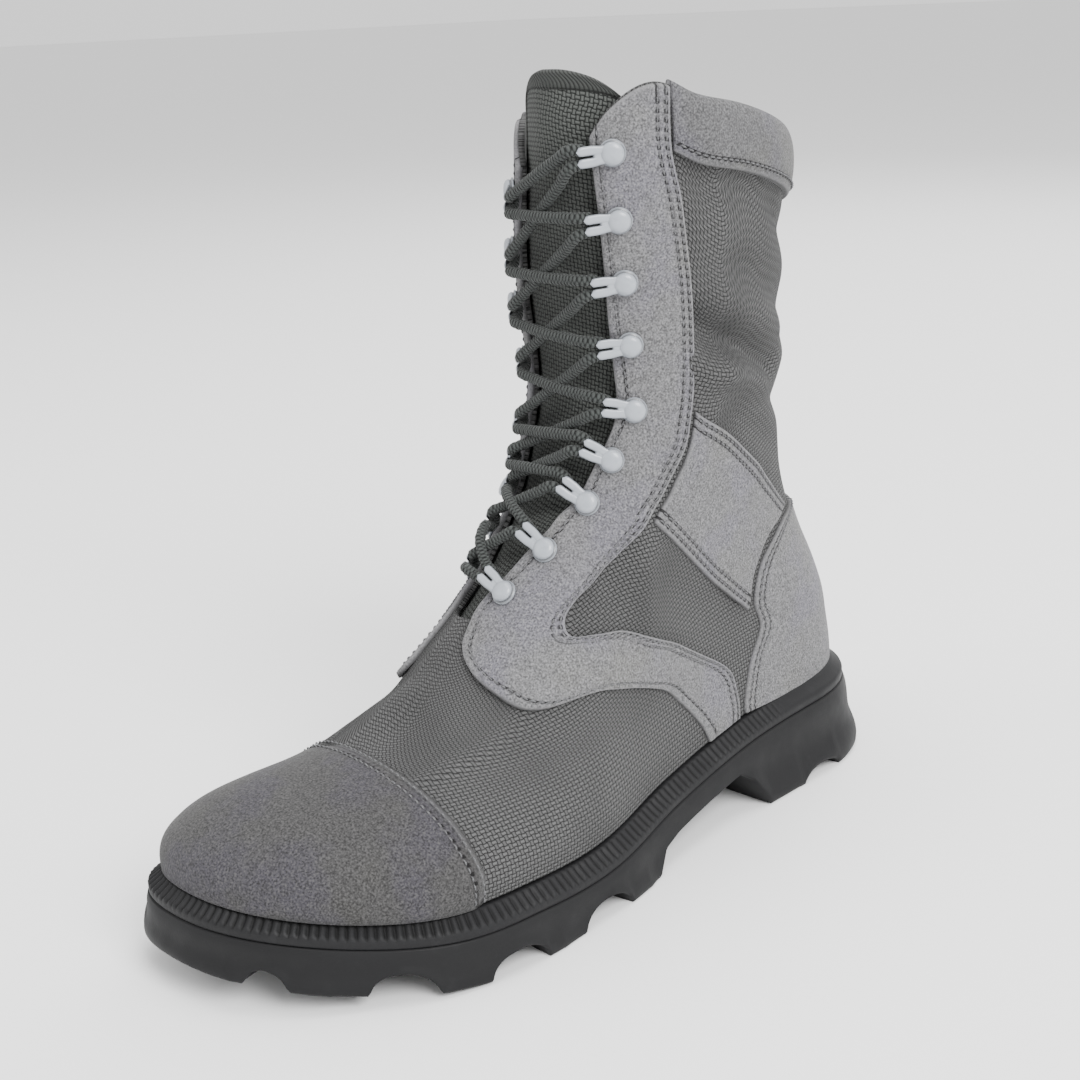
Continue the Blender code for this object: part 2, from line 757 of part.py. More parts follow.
def four_edges(upper, lower, front, back, across, rows):
    """Angles and rises inside four edges, blended from all of them."""

    def line(edge, count):
        angle, rise = edge["angle"], edge["rise"]
        length = np.concatenate([[0], np.cumsum(np.hypot(np.diff(angle) / 100, np.diff(rise)))])
        t = np.linspace(0, length[-1], count)
        return np.stack([smooth(t, length, angle), smooth(t, length, rise)], axis=-1)

    a, b = line(upper, rows), line(lower, rows)
    f, k = line(front, across), line(back, across)
    s = np.linspace(0, 1, rows)[:, None, None]
    t = np.linspace(0, 1, across)[None, :, None]
    corners = (1 - s) * ((1 - t) * a[0] + t * b[0]) + s * ((1 - t) * a[-1] + t * b[-1])
    return (1 - t) * a[:, None] + t * b[:, None] + (1 - s) * f[None] + s * k[None] - corners


def cut_overlay(name, grid, slot, home, tools, forms, side=1):
    """An overlay: what a patch of angles and rises keeps between the outer and the inner form."""
    angle = grid[..., 0] * side
    rise = grid[..., 1]
    inner = np.where(rise < 0.3, -0.004, -0.003)
    cutter = add_slab(name + "_cutter", surface(angle, rise, inner), surface(angle, rise, 0.006), tools)
    overlay = start_overlay(name, home, forms)
    boolean(overlay, cutter, "INTERSECT")
    finish_overlay(overlay, slot, forms)


def start_overlay(name, home, forms):
    overlay = bpy.data.objects.new(name, forms[0].data.copy())
    home.objects.link(overlay)
    return overlay


def finish_overlay(overlay, slot, forms):
    boolean(overlay, forms[1], "DIFFERENCE")
    paint(overlay, slot)


def toe_cutter(tools):
    """An upright block in front of the toe cap's seam."""
    share = np.linspace(TOE_SEAM["across"][-1], TOE_SEAM["across"][0], 13)
    seam = smooth(share, TOE_SEAM["across"][::-1], TOE_SEAM["station"][::-1])
    line = np.column_stack([share * BALL_WIDTH, along(seam)])
    front = np.column_stack([share * BALL_WIDTH, np.full(len(share), along(1.1))])
    low, high = -HEEL_HEIGHT, INSTEP_HEIGHT
    grids = [
        np.stack([np.column_stack([edge, np.full(len(share), z)]) for edge in (line, front)])
        for z in (low, high)
    ]
    return add_slab("toe_cap_cutter", grids[0], grids[1], tools)


def make_overlays(home, tools):
    """Toe cap, counter, eyestays, straps and back strip, cut between two larger forms."""
    rises = FOOT_RISES + LEG_RISES
    outer = add_form("outer_form", GAP + OVERLAY, rises, tools)
    inner = add_form("inner_form", GAP, (-0.05,) + rises + (1.05,), tools)
    forms = (outer, inner)
    toe_cap = start_overlay("toe_cap", home, forms)
    boolean(toe_cap, toe_cutter(tools), "INTERSECT")
    finish_overlay(toe_cap, "toe_suede", forms)
    edge = (COUNTER["angle"], COUNTER["rise"])
    other = (-COUNTER["angle"], COUNTER["rise"])
    cut_overlay("counter", cutter_grid(edge, other, 15, 9), "suede", home, tools, forms)
    for side, word in ((1, "lateral"), (-1, "medial")):
        back = (EYESTAY["back_angle"], EYESTAY["back_rise"])
        front_angle = EYESTAY["front_angle"]
        if side < 0:
            edge_lateral = smooth(EYESTAY["front_rise"], THROAT["rise"], THROAT["lateral"])
            edge_medial = smooth(EYESTAY["front_rise"], THROAT["rise"], THROAT["medial"])
            on_throat = EYESTAY["front_rise"] > WING_TOP
            front_angle = np.where(on_throat, front_angle + edge_medial - edge_lateral, front_angle)
            front_angle = np.minimum(front_angle, MEDIAL_WING_ANGLE)
        front = (front_angle, EYESTAY["front_rise"])
        cut_overlay("eyestay_" + word, cutter_grid(back, front, 4, 22), "suede", home, tools, forms, side)
        strap = four_edges(STRAP_UPPER, STRAP_LOWER, STRAP_FRONT, STRAP_BACK, 5, 7)
        cut_overlay("strap_" + word, strap, "suede", home, tools, forms, side)
    low = COUNTER["rise"][-1] + 0.012
    high = rise_at(0.0, top_height(0.0) - COLLAR_DEPTH - 2 * GAP) - 0.004
    edge = (np.full(6, STRIP_HALF_ANGLE), np.linspace(low, high, 6))
    cut_overlay("back_strip", cutter_grid(edge, (-edge[0], edge[1]), 4, 9), "nylon", home, tools, forms)


def make_collar(home):
    """Padded band over the top edge, outside and inside the wall."""
    pad = COLLAR_PAD
    inside = -WALL - COLLAR_CLEARANCE
    section = np.array([
        (COLLAR_CLEARANCE, -1.00),
        (0.72 * pad, -0.96),
        (1.08 * pad, -0.58),
        (0.95 * pad, -0.19),
        (0.40 * pad, 0.06),
        (-0.40 * pad, 0.09),
        (inside - 0.40 * pad, 0.04),
        (inside - 0.86 * pad, -0.24),
        (inside - 0.80 * pad, -0.71),
        (inside - 0.20 * pad, -0.95),
        (inside, -0.95),
        (inside, 0.0),
        (COLLAR_CLEARANCE, 0.0),
    ])
    lift = np.where(section[:, 1] == 0.0, 1.5 * COLLAR_CLEARANCE, section[:, 1] * COLLAR_DEPTH)
    angles = np.linspace(-119.4, 119.4, 29)
    points = [shell(angle, top_height(angle) + lift, section[:, 0]) for angle in angles]
    count = len(section)
    faces = grid_faces(len(angles), count, closed=True)
    for start in (0, (len(angles) - 1) * count):
        quads = [(0, 1, 2, 12), (2, 3, 12), (3, 4, 12), (4, 5, 11, 12), (5, 6, 11), (6, 7, 11), (7, 8, 10, 11), (8, 9, 10)]
        faces += [tuple(start + corner for corner in face) for face in quads]
    collar = add_object("collar", np.concatenate(points), faces, home)
    paint(collar, "suede")
    return collar


def make_tongue(home):
    """Padded tongue under the throat, thicker along the binding at its top."""
    z = TONGUE["height"] * SHAFT_HEIGHT
    share = np.linspace(-1, 1, 10)
    angle = TONGUE["centre"][:, None] + TONGUE["half_angle"][:, None] * share
    bound = (TONGUE["height"] >= BINDING_START)[:, None] * BINDING_STEP
    outer = -WALL - TONGUE_CLEARANCE - BINDING_STEP + bound + 0 * angle
    inner = outer - TONGUE_THICKNESS - 2 * bound
    height = z[:, None] + 0 * angle
    tongue = add_slab("tongue", shell(angle, height, inner), shell(angle, height, outer), home)
    paint(tongue, "tongue_cloth")
    return tongue


def hook_places():
    """Seat, outward normal, direction to the throat and direction up the throat of each hook."""
    places = {}
    for side, word in ((1, "lateral"), (-1, "medial")):
        angle = HOOKS[word] * side
        offset = GAP + OVERLAY + HOOK_CLEARANCE
        seat = surface(angle, HOOKS["rise"], offset)
        normal = seat - surface(angle, HOOKS["rise"])
        normal /= np.linalg.norm(normal, axis=1, keepdims=True)
        up = np.gradient(seat, axis=0)
        up -= np.sum(up * normal, axis=1, keepdims=True) * normal
        up /= np.linalg.norm(up, axis=1, keepdims=True)
        reach = np.cross(normal, up) * side
        reach *= np.sign(np.sum(reach * (surface(angle + 3 * side, HOOKS["rise"]) - seat), axis=1))[:, None]
        places[word] = (seat, normal, reach, up)
    return places


def make_hooks(home, places):
    """Round head on a forked plate, one solid, set eighteen times."""
    rings = [(0.78, 0.0), (1.0, 0.50), (0.60, 1.0)]
    turn = np.linspace(0, 2 * np.pi, 9)[:-1]
    head = [
        np.column_stack([
            HOOK_RADIUS * wide * np.cos(turn),
            HOOK_RADIUS * wide * np.sin(turn),
            np.full(len(turn), HOOK_HEIGHT * high),
        ])
        for wide, high in rings
    ]
    faces = grid_faces(len(rings), len(turn), closed=True)
    faces += [tuple(range(len(turn)))] + [tuple(range((len(rings) - 1) * len(turn), len(rings) * len(turn)))]
    tools = bpy.data.collections["cutters"]
    base = add_object("hook_head", np.concatenate(head), faces, tools)
    wide = PLATE_WIDTH / 2
    slot = PLATE_WIDTH * 0.06
    fork = np.array([
        (0.0, -0.8 * wide),
        (0.75 * HOOK_REACH, -wide),
        (HOOK_REACH, -0.9 * wide),
        (HOOK_REACH, -slot),
        (0.52 * HOOK_REACH, -slot),
        (0.52 * HOOK_REACH, slot),
        (HOOK_REACH, slot),
        (HOOK_REACH, 0.9 * wide),
        (0.75 * HOOK_REACH, wide),
        (0.0, 0.8 * wide),
    ])
    low = np.column_stack([fork, PLATE_SEAT * HOOK_HEIGHT + fork[:, 0] / HOOK_REACH * HOOK_LIFT])
    high = low + (0, 0, PLATE_THICKNESS)
    count = len(fork)
    faces = [(i, (i + 1) % count, (i + 1) % count + count, i + count) for i in range(count)]
    for start in (0, count):
        faces += [tuple(start + c for c in (0, 1, 2, 3, 4)), tuple(start + c for c in (0, 4, 5, 9))]
        faces += [tuple(start + c for c in (5, 6, 7, 8, 9))]
    plate = add_object("hook_plate", np.concatenate([low, high]), faces, tools)
    boolean(plate, base, "UNION")
    bpy.context.view_layer.update()
    graph = bpy.context.evaluated_depsgraph_get()
    mesh = bpy.data.meshes.new_from_object(plate.evaluated_get(graph))
    mesh.name = "hook"
    for word, (seat, normal, reach, up) in places.items():
        for number in range(len(seat)):
            hook = bpy.data.objects.new(f"hook_{word}_{number + 1}", mesh)
            across = np.cross(normal[number], reach[number])
            turned = Matrix([[*row] for row in np.column_stack([reach[number], across, normal[number]])])
            hook.matrix_world = Matrix.Translation(Vector(seat[number])) @ turned.to_4x4()
            home.objects.link(hook)
    first = bpy.data.objects["hook_lateral_1"]
    paint(first, "hook_paint", 0.35, 0.1)


def add_cord(name, path, home):
    """A six-sided tube along a short path."""
    path = np.array(path)
    run = np.gradient(path, axis=0)
    run /= np.linalg.norm(run, axis=1, keepdims=True)
    side = np.cross(run, np.array([0, 0, 1.0]))
    side /= np.linalg.norm(side, axis=1, keepdims=True)
    lift = np.cross(side, run)
    turn = np.linspace(0, 2 * np.pi, 7)[:-1][None, :, None]
    points = path[:, None] + LACE_RADIUS * (np.cos(turn) * side[:, None] + np.sin(turn) * lift[:, None])
    faces = grid_faces(len(path), 6, closed=True)
    last = (len(path) - 1) * 6
    faces += [tuple(range(6)), tuple(range(last, last + 6))]
    return add_object(name, points.reshape(-1, 3), faces, home)


def lace_path(start, end, bulge):
    """A soft arch between two places, lifted along the mean outward direction."""
    (a, out_a), (b, out_b) = start, end
    out = out_a + out_b
    out = out / np.linalg.norm(out)
    t = np.linspace(0, 1, 6)
    return a + (b - a) * t[:, None] + out * (bulge * np.sin(np.pi * t))[:, None]


def make_lace(home, tools, places):
    """Eight crossings, a bar at the foot of the throat and a bar at its top."""

    def stop(word, number, shift, gap=CROSSING_GAP):
        seat, normal, reach, up = (value[number] for value in places[word])
        away = HOOK_REACH + gap
        height = PLATE_SEAT * HOOK_HEIGHT + HOOK_LIFT + PLATE_THICKNESS / 2
        return seat + reach * away + normal * height + up * shift, normal

    last = len(HOOKS["rise"]) - 1
    for number in range(last):
        over = add_cord(
            f"lace_crossing_{number + 1}",
            lace_path(stop("lateral", number, LACE_SPACING), stop("medial", number + 1, -LACE_SPACING), 0.0024),
            home,
        )
        under = add_cord(
            f"lace_under_{number + 1}",
            lace_path(stop("medial", number, LACE_SPACING), stop("lateral", number + 1, -LACE_SPACING), 0.0004),
            tools,
        )
        boolean(over, under, "UNION")
        paint(over, "lace_cord")
    bars = (("lace_bar_low", 0, -LACE_SPACING, LOW_BAR_GAP), ("lace_bar_top", last, LACE_SPACING, TOP_BAR_GAP))
    for name, number, shift, gap in bars:
        ends = [stop(word, number, shift, gap) for word in ("lateral", "medial")]
        bar = add_cord(name, lace_path(*ends, 0.001), home)
        paint(bar, "lace_cord")


def main():
    for item in list(bpy.data.objects):
        bpy.data.objects.remove(item)
    home = bpy.data.collections.new("military_boot")
    tools = bpy.data.collections.new("cutters")
    for collection in (home, tools):
        bpy.context.scene.collection.children.link(collection)
    make_outsole(home, tools)
    make_welt(home)
    make_insole(home)
    make_upper(home)
    make_tongue(home)
    make_overlays(home, tools)
    make_collar(home)
    places = hook_places()
    make_hooks(home, places)
    make_lace(home, tools, places)
    for helper in tools.objects:
        helper.hide_render = True
        helper.display_type = "WIRE"
    tools.hide_render = True


main()
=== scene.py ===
"""Dresses the left military boot: fabric, suede panels, stitches, hooks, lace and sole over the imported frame.
Metres, +Z up, toe towards -Y, lateral side +X. Angles go round from the back, rises from rim to top."""

import bmesh
import bpy
import numpy as np
from mathutils import Matrix, Vector


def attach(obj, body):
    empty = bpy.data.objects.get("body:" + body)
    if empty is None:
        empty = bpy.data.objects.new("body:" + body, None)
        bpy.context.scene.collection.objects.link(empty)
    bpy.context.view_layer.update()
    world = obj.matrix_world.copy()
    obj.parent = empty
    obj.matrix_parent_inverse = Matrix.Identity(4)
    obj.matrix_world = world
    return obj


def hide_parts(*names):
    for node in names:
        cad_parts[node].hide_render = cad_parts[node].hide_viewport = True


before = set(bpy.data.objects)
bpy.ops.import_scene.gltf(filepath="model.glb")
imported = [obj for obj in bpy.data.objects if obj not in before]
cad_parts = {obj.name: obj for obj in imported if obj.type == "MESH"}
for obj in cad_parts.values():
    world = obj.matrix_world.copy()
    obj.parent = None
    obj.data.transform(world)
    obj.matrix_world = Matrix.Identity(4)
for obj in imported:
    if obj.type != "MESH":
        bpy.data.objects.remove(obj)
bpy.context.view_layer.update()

bl_info = {
    "name": "Military boot",
    "version": (1, 0, 0),
    "blender": (4, 5, 0),
    "location": "3D View > Sidebar > Boot",
    "description": "Fabric, suede, stitches, hooks, lace and sole of a high lace-up boot",
    "category": "Object",
}

# Main sizes
RIM_LENGTH = 0.301
BALL_WIDTH = 0.108
HEEL_BACK = 0.041
HEEL_HEIGHT = 0.0335
INSTEP_HEIGHT = 0.148
SHAFT_HEIGHT = 0.272
# Walls and clearances
GAP = 0.0003
SEAT_GAP = 0.0007
WALL = 0.002
TUCK = 0.015
OVERLAY = 0.0014
FEATHER = 0.0054
# Sole
WELT_THICKNESS = 0.004
LEDGE_RISE = 0.0035
SOLE_STEP = 0.001
TOE_SPRING = 0.012
# Collar, tongue, hooks and lace
COLLAR_DEPTH = 0.021
COLLAR_PAD = 0.0035
COLLAR_CLEARANCE = 0.0006
TONGUE_THICKNESS = 0.0025
TONGUE_CLEARANCE = 0.0007
BINDING_STEP = 0.0006
HOOK_RADIUS = 0.0045
HOOK_HEIGHT = 0.0028
HOOK_REACH = 0.0115
HOOK_LIFT = 0.0022
PLATE_SEAT = 0.35
PLATE_WIDTH = 0.0068
PLATE_THICKNESS = 0.0012
LACE_RADIUS = 0.0021
LACE_SPACING = 0.0027
# Roundings as shares of RIM_LENGTH, and steps that settle a height
TOE_ROUND = 0.27
HEEL_ROUND = 0.15
HEIGHT_PASSES = 12


def table(names, *rows):
    """A short table as a dictionary of named columns."""
    return dict(zip(names.split(), np.array(rows, float).T))


# Rim of the sole: shares of RIM_LENGTH, BALL_WIDTH and HEEL_HEIGHT
FOOT = table(
    "station half_width centre",
    (0.00, 0.372, 0.000), (0.15, 0.372, 0.000), (0.30, 0.360, 0.020), (0.45, 0.362, 0.050),
    (0.58, 0.430, 0.044), (0.70, 0.485, 0.004), (0.80, 0.500, -0.039), (0.90, 0.504, -0.140),
    (1.00, 0.501, -0.234),
)
RIM = table(
    "station height",
    (0.00, 1.000), (0.15, 0.991), (0.28, 0.940), (0.45, 0.740), (0.60, 0.575), (0.72, 0.612),
    (0.85, 0.666), (1.00, 0.900),
)
# Top line of the last over the foot: shares of RIM_LENGTH and INSTEP_HEIGHT
CROWN = table(
    "station height",
    (0.442, 2.027), (0.458, 1.351), (0.465, 1.149), (0.478, 1.000), (0.518, 0.845), (0.575, 0.697),
    (0.635, 0.578), (0.701, 0.471), (0.777, 0.410), (0.850, 0.394), (0.920, 0.392), (0.993, 0.391),
)
# Back line, front line and half width of the leg: shares of SHAFT_HEIGHT, RIM_LENGTH and BALL_WIDTH
BACK = table(
    "height station",
    (0.110, 0.0150), (0.184, 0.0116), (0.239, 0.0199), (0.294, 0.0415), (0.349, 0.0681),
    (0.404, 0.0880), (0.496, 0.1113), (0.607, 0.1296), (0.735, 0.1312), (0.846, 0.1279),
    (1.029, 0.1279),
)
SHIN = table(
    "height station",
    (0.496, 0.4967), (0.607, 0.4651), (0.735, 0.4718), (0.846, 0.4884), (0.956, 0.5017),
    (1.029, 0.5050),
)
LEG = table(
    "height half_width",
    (0.331, 0.333), (0.404, 0.338), (0.496, 0.343), (0.607, 0.355), (0.735, 0.375), (0.846, 0.394),
    (0.956, 0.407), (1.029, 0.412),
)
# Top edge of the shaft: angle from the back, heights as shares of SHAFT_HEIGHT
TOP_EDGE = table(
    "angle lateral medial",
    (0, 0.890, 0.890), (30, 0.904, 0.904), (60, 0.934, 0.923), (90, 0.963, 0.938),
    (110, 0.978, 0.949), (126, 1.000, 0.956), (145, 0.971, 0.919), (158, 0.926, 0.893),
    (180, 0.919, 0.893),
)
# Rows of the upper: rise is a plain measure from rim to top edge, height the true share
LEVEL = table(
    "rise height",
    (0.00, 0.000), (0.08, 0.045), (0.16, 0.100), (0.24, 0.150), (0.30, 0.190), (0.36, 0.225),
    (0.42, 0.265), (0.50, 0.340), (0.60, 0.460), (0.70, 0.580), (0.80, 0.710), (0.90, 0.850),
    (1.00, 1.000),
)
THROAT_BASE = 0.48
# Edges of the throat: angles from the back, each on its own side
THROAT = table(
    "rise lateral medial",
    (0.48, 185.0, 157.0), (0.51, 182.2, 157.0), (0.54, 178.0, 156.0), (0.57, 172.5, 155.0),
    (0.60, 164.5, 154.0), (0.64, 157.5, 153.0), (0.69, 151.5, 152.5), (0.76, 153.0, 152.5),
    (0.82, 153.6, 152.5), (0.90, 152.5, 152.5), (1.00, 152.6, 152.5),
)
# Edges of the overlays on the lateral side, as angle from the back and rise
EYESTAY = table(
    "back_angle back_rise front_angle front_rise",
    (120.8, 1.040, 151.6, 1.040), (121.2, 0.944, 151.4, 0.940), (118.5, 0.902, 151.4, 0.902),
    (117.2, 0.860, 152.0, 0.862), (115.9, 0.802, 152.6, 0.812), (115.9, 0.733, 152.0, 0.755),
    (115.7, 0.667, 150.4, 0.695), (115.8, 0.623, 153.8, 0.650), (122.4, 0.575, 160.0, 0.611),
    (126.2, 0.547, 165.5, 0.590), (132.0, 0.523, 173.5, 0.557), (138.8, 0.499, 179.2, 0.522),
    (145.2, 0.484, 182.2, 0.497), (147.4, 0.466, 183.0, 0.473), (142.8, 0.438, 178.0, 0.434),
    (133.0, 0.422, 160.5, 0.378), (119.0, 0.398, 145.5, 0.325), (104.5, 0.342, 125.5, 0.308),
    (88.8, 0.248, 101.0, 0.238), (72.0, 0.156, 83.8, 0.162), (65.3, 0.075, 75.4, 0.075),
    (64.8, -0.050, 73.0, -0.050),
)
WING_TOP = 0.49
MEDIAL_WING_ANGLE = 157.0
TOE_SEAM = table(
    "across station",
    (0.80, 0.768), (0.45, 0.767), (0.25, 0.771), (0.05, 0.770), (-0.18, 0.764), (-0.45, 0.753),
    (-0.90, 0.740),
)
COUNTER = table(
    "rise angle",
    (-0.050, 63.2), (0.044, 63.2), (0.138, 63.8), (0.222, 67.2), (0.297, 70.6), (0.389, 68.4),
    (0.439, 62.4), (0.478, 50.2), (0.491, 29.5),
)
STRAP_UPPER = table("angle rise", (114.0, 0.672), (94.7, 0.639), (80.5, 0.605), (61.0, 0.553), (46.5, 0.503))
STRAP_LOWER = table("angle rise", (124.0, 0.541), (110.3, 0.509), (94.7, 0.447), (86.5, 0.399), (73.0, 0.285))
STRAP_FRONT = table("angle rise", (114.0, 0.672), (114.2, 0.624), (119.5, 0.577), (124.0, 0.541))
STRAP_BACK = table("angle rise", (46.5, 0.503), (53.0, 0.487), (65.5, 0.448), (70.6, 0.395), (73.0, 0.285))
STRIP_HALF_ANGLE = 8.0
# Hooks: places of the two rows
HOOKS = table(
    "rise lateral medial",
    (0.514, 175.5, 150.0), (0.559, 166.0, 149.0), (0.601, 156.0, 148.0), (0.641, 148.9, 147.0),
    (0.691, 143.2, 146.0), (0.770, 144.8, 146.0), (0.838, 144.8, 146.0), (0.900, 144.4, 146.0),
    (0.962, 144.4, 146.0),
)
# Tongue: heights as shares of SHAFT_HEIGHT, centre and half angle round the leg
TONGUE = table(
    "height centre half_angle",
    (0.309, 192.0, 22.0), (0.345, 192.0, 25.0), (0.385, 191.0, 30.0), (0.430, 188.0, 36.0),
    (0.480, 185.0, 40.0), (0.550, 182.0, 42.0), (0.630, 180.5, 42.0), (0.720, 180.0, 43.0),
    (0.820, 180.0, 44.0), (0.920, 180.0, 45.0), (0.965, 180.0, 44.0), (0.990, 178.5, 44.0),
    (1.005, 177.5, 42.0), (1.018, 176.5, 36.0),
)
# Side of the sole: shares of the wall's height and of its flare
SOLE_SIDE = table("down flare", (0.0, 0.0), (0.07, 0.12), (0.50, 0.42), (0.93, 0.97), (1.0, 0.90))
FLARE = table("station width", (0.0, 0.0060), (0.2, 0.0055), (0.45, 0.0030), (0.75, 0.0022), (1.0, 0.0030))
# Underside of the waist: stations, heights as shares of HEEL_HEIGHT
SHANK = table(
    "station height",
    (0.508, -0.20), (0.502, 0.04), (0.486, 0.25), (0.455, 0.33), (0.375, 0.45), (0.322, 0.53),
    (0.300, 0.40), (0.271, 0.00), (0.262, -0.20),
)
# Notches between the lugs: station of the middle, length as a share of RIM_LENGTH
NOTCHES = table(
    "station length height",
    (0.158, 0.074, 0.0052), (0.608, 0.082, 0.0075), (0.747, 0.076, 0.0078), (0.866, 0.072, 0.0075),
    (0.968, 0.046, 0.0060),
)


def smooth(at, places, values):
    """Cubic through the rows of a table, flat beyond its ends."""
    slope = np.gradient(values, places)
    at = np.clip(at, places[0], places[-1])
    k = np.clip(np.searchsorted(places, at, side="right") - 1, 0, len(places) - 2)
    width = places[k + 1] - places[k]
    t = (at - places[k]) / width
    held = (1 + 2 * t) * (1 - t) ** 2 * values[k] + t * t * (3 - 2 * t) * values[k + 1]
    return held + t * (1 - t) ** 2 * width * slope[k] + t * t * (t - 1) * width * slope[k + 1]


def ease(t):
    """Soft step from 0 to 1."""
    t = np.clip(t, 0, 1)
    return t * t * (3 - 2 * t)


def unit(vectors):
    """Vectors brought to length 1."""
    return vectors / np.linalg.norm(vectors, axis=-1, keepdims=True)


def station(y):
    """Share of the rim's length from the heel."""
    return (HEEL_BACK - y) / RIM_LENGTH


def along(share):
    """The y of a station."""
    return HEEL_BACK - share * RIM_LENGTH


def rim_height(y):
    """Height of the sole's rim: a cubic through its table."""
    return HEEL_HEIGHT * smooth(station(y), RIM["station"], RIM["height"])


def seat_height(y):
    """Height of the ledge where it meets the upper."""
    return rim_height(y) + LEDGE_RISE


def half_width(y):
    """Half width of the foot at the rim: a cubic through its table."""
    return BALL_WIDTH * smooth(station(y), FOOT["station"], FOOT["half_width"])


def centre(y):
    """Middle of the foot across: a cubic through its table, which bends to the medial side."""
    return BALL_WIDTH * smooth(station(y), FOOT["station"], FOOT["centre"])


def crown_height(y):
    """Top line of the last over the foot: a cubic through its table."""
    return INSTEP_HEIGHT * smooth(station(y), CROWN["station"], CROWN["height"])


TIP = along(1.0) + FEATHER
# Powers of the superellipses, lean of the top line and swelling of the sides
TOE_FORM = 3.1
CROWN_FORM = 2.58
PLAN_FORM = 2.25
LEG_FORM = 2.2
OUT_FORM = 2.35
CROWN_SKEW = 0.042
LOW_BULGE = 0.03


def superellipse(t, form):
    """Height of a superellipse of unit radii at a share of its width."""
    return (1 - t**form) ** (1 / form)


def bulge(lift):
    """Slight swelling of the lower half of a section."""
    return 1 + LOW_BULGE * np.sin(np.pi * np.clip(lift / 0.5, 0, 1))


def toe_share(y):
    """0 behind the toe's rounding, 1 at the tip."""
    return np.clip((TIP + TOE_ROUND * RIM_LENGTH - y) / (TOE_ROUND * RIM_LENGTH), 0, 1)


def ridge(y):
    """Height of the last's top line, rounded down to the rim at the tip."""
    low = seat_height(y)
    rounding = np.clip(1 - toe_share(y) ** TOE_FORM, 0, 1) ** (1 / CROWN_FORM)
    return low + (crown_height(y) - low) * rounding


RIDGE_Y = np.linspace(TIP, along(0.465), 400)
RIDGE_Z = np.maximum.accumulate(ridge(RIDGE_Y))
# Heights where one form passes into the next: shares of SHAFT_HEIGHT
SHIN_START = 0.46
SHIN_BLEND = 0.092
LEG_START = 0.3125
LEG_BLEND = 0.239
LEAN_START = 0.11
LEAN_END = 0.423
TUCK_START = 0.70
# Middle of the leg and lean of the ankle: shares of BALL_WIDTH
LEG_MIDDLE = 0.009
ANKLE_LEAN = 0.028


def front_line(z):
    """The y of the boot's front at a height: toe and instep below, shin above."""
    share = z / SHAFT_HEIGHT
    foot = np.interp(z, RIDGE_Z, RIDGE_Y)
    shin = along(smooth(share, SHIN["height"], SHIN["station"]))
    k = ease((share - SHIN_START) / SHIN_BLEND)
    return foot * (1 - k) + shin * k


def back_line(z):
    """The y of the boot's back at a height: a cubic through its table."""
    return along(smooth(z / SHAFT_HEIGHT, BACK["height"], BACK["station"]))


def span(z):
    """Middle and half length of the boot's section at a height."""
    back, front = back_line(z), front_line(z)
    return (back + front) / 2, (back - front) / 2


def leg_share(z):
    """0 where the section is the foot's, 1 where it is the leg's."""
    return ease((z / SHAFT_HEIGHT - LEG_START) / LEG_BLEND)


def crown_share(y, z):
    """Share of the way up from the seat to the last's top line."""
    low = seat_height(y)
    return np.clip((z - low) / (crown_height(y) - low), 0, 1)


def section_width(y, z):
    """Half width of the last at a length and a height."""
    q = crown_share(y, z)
    heel = np.clip((y - back_line(z) + HEEL_ROUND * RIM_LENGTH) / (HEEL_ROUND * RIM_LENGTH), 0, 1)
    plan = np.clip(1 - toe_share(y) ** TOE_FORM - q**CROWN_FORM, 0, 1) ** (1 / PLAN_FORM)
    foot = (half_width(y) - FEATHER) * (plan * superellipse(heel, LEG_FORM)) * bulge(q)
    middle, reach = span(z)
    leg = BALL_WIDTH * smooth(z / SHAFT_HEIGHT, LEG["height"], LEG["half_width"])
    leg = leg * superellipse(np.clip(np.abs(y - middle) / reach, 0, 1), LEG_FORM)
    k = leg_share(z)
    return foot * (1 - k) + leg * k


def section_centre(y, z):
    """Middle of the last across: the foot's skewed line below, the leg's above, leaning at the ankle."""
    share = z / SHAFT_HEIGHT
    k = leg_share(z)
    lean = ease((share - LEAN_START) / 0.11) * (1 - ease((share - LEAN_END) / 0.22))
    foot = centre(y) - CROWN_SKEW * BALL_WIDTH * crown_share(y, z) ** 2
    return foot * (1 - k) + LEG_MIDDLE * BALL_WIDTH * k - ANKLE_LEAN * BALL_WIDTH * lean


def at_height(angle, z):
    """Points of the boot's outer form at an angle from the back (degrees) and a height."""
    turn = np.radians(angle)
    middle, reach = span(z)
    y = middle + reach * np.cos(turn)
    x = section_centre(y, z) + np.sign(np.sin(turn)) * section_width(y, z)
    place = angle % 360
    tuck = ease((place - 152) / 56) * ease((300 - place) / 90)
    x = x + TUCK * ease((z / SHAFT_HEIGHT - TUCK_START) / 0.30) * tuck
    return np.stack([x, y, z + 0 * y], axis=-1)


def shell(angle, z, offset=0.0):
    """at_height, moved out along the form's normal."""
    angle, z = np.broadcast_arrays(np.asarray(angle, float), np.asarray(z, float))
    across = at_height(angle + 3.0, z) - at_height(angle - 3.0, z)
    up = at_height(angle, z + 0.001) - at_height(angle, z - 0.001)
    normal = unit(np.cross(up, across))
    return at_height(angle, z) + normal * np.asarray(offset, float)[..., None]


def top_height(angle):
    """Height of the shaft's top edge at an angle from the back."""
    turn = (np.asarray(angle, float) + 180) % 360 - 180
    lateral = smooth(np.abs(turn), TOP_EDGE["angle"], TOP_EDGE["lateral"])
    medial = smooth(np.abs(turn), TOP_EDGE["angle"], TOP_EDGE["medial"])
    k = ease((turn + 20) / 40)
    front = ease((np.abs(turn) - 160) / 20) * 0.5
    k = k * (1 - front) + (1 - k) * front
    return SHAFT_HEIGHT * (medial * (1 - k) + lateral * k)


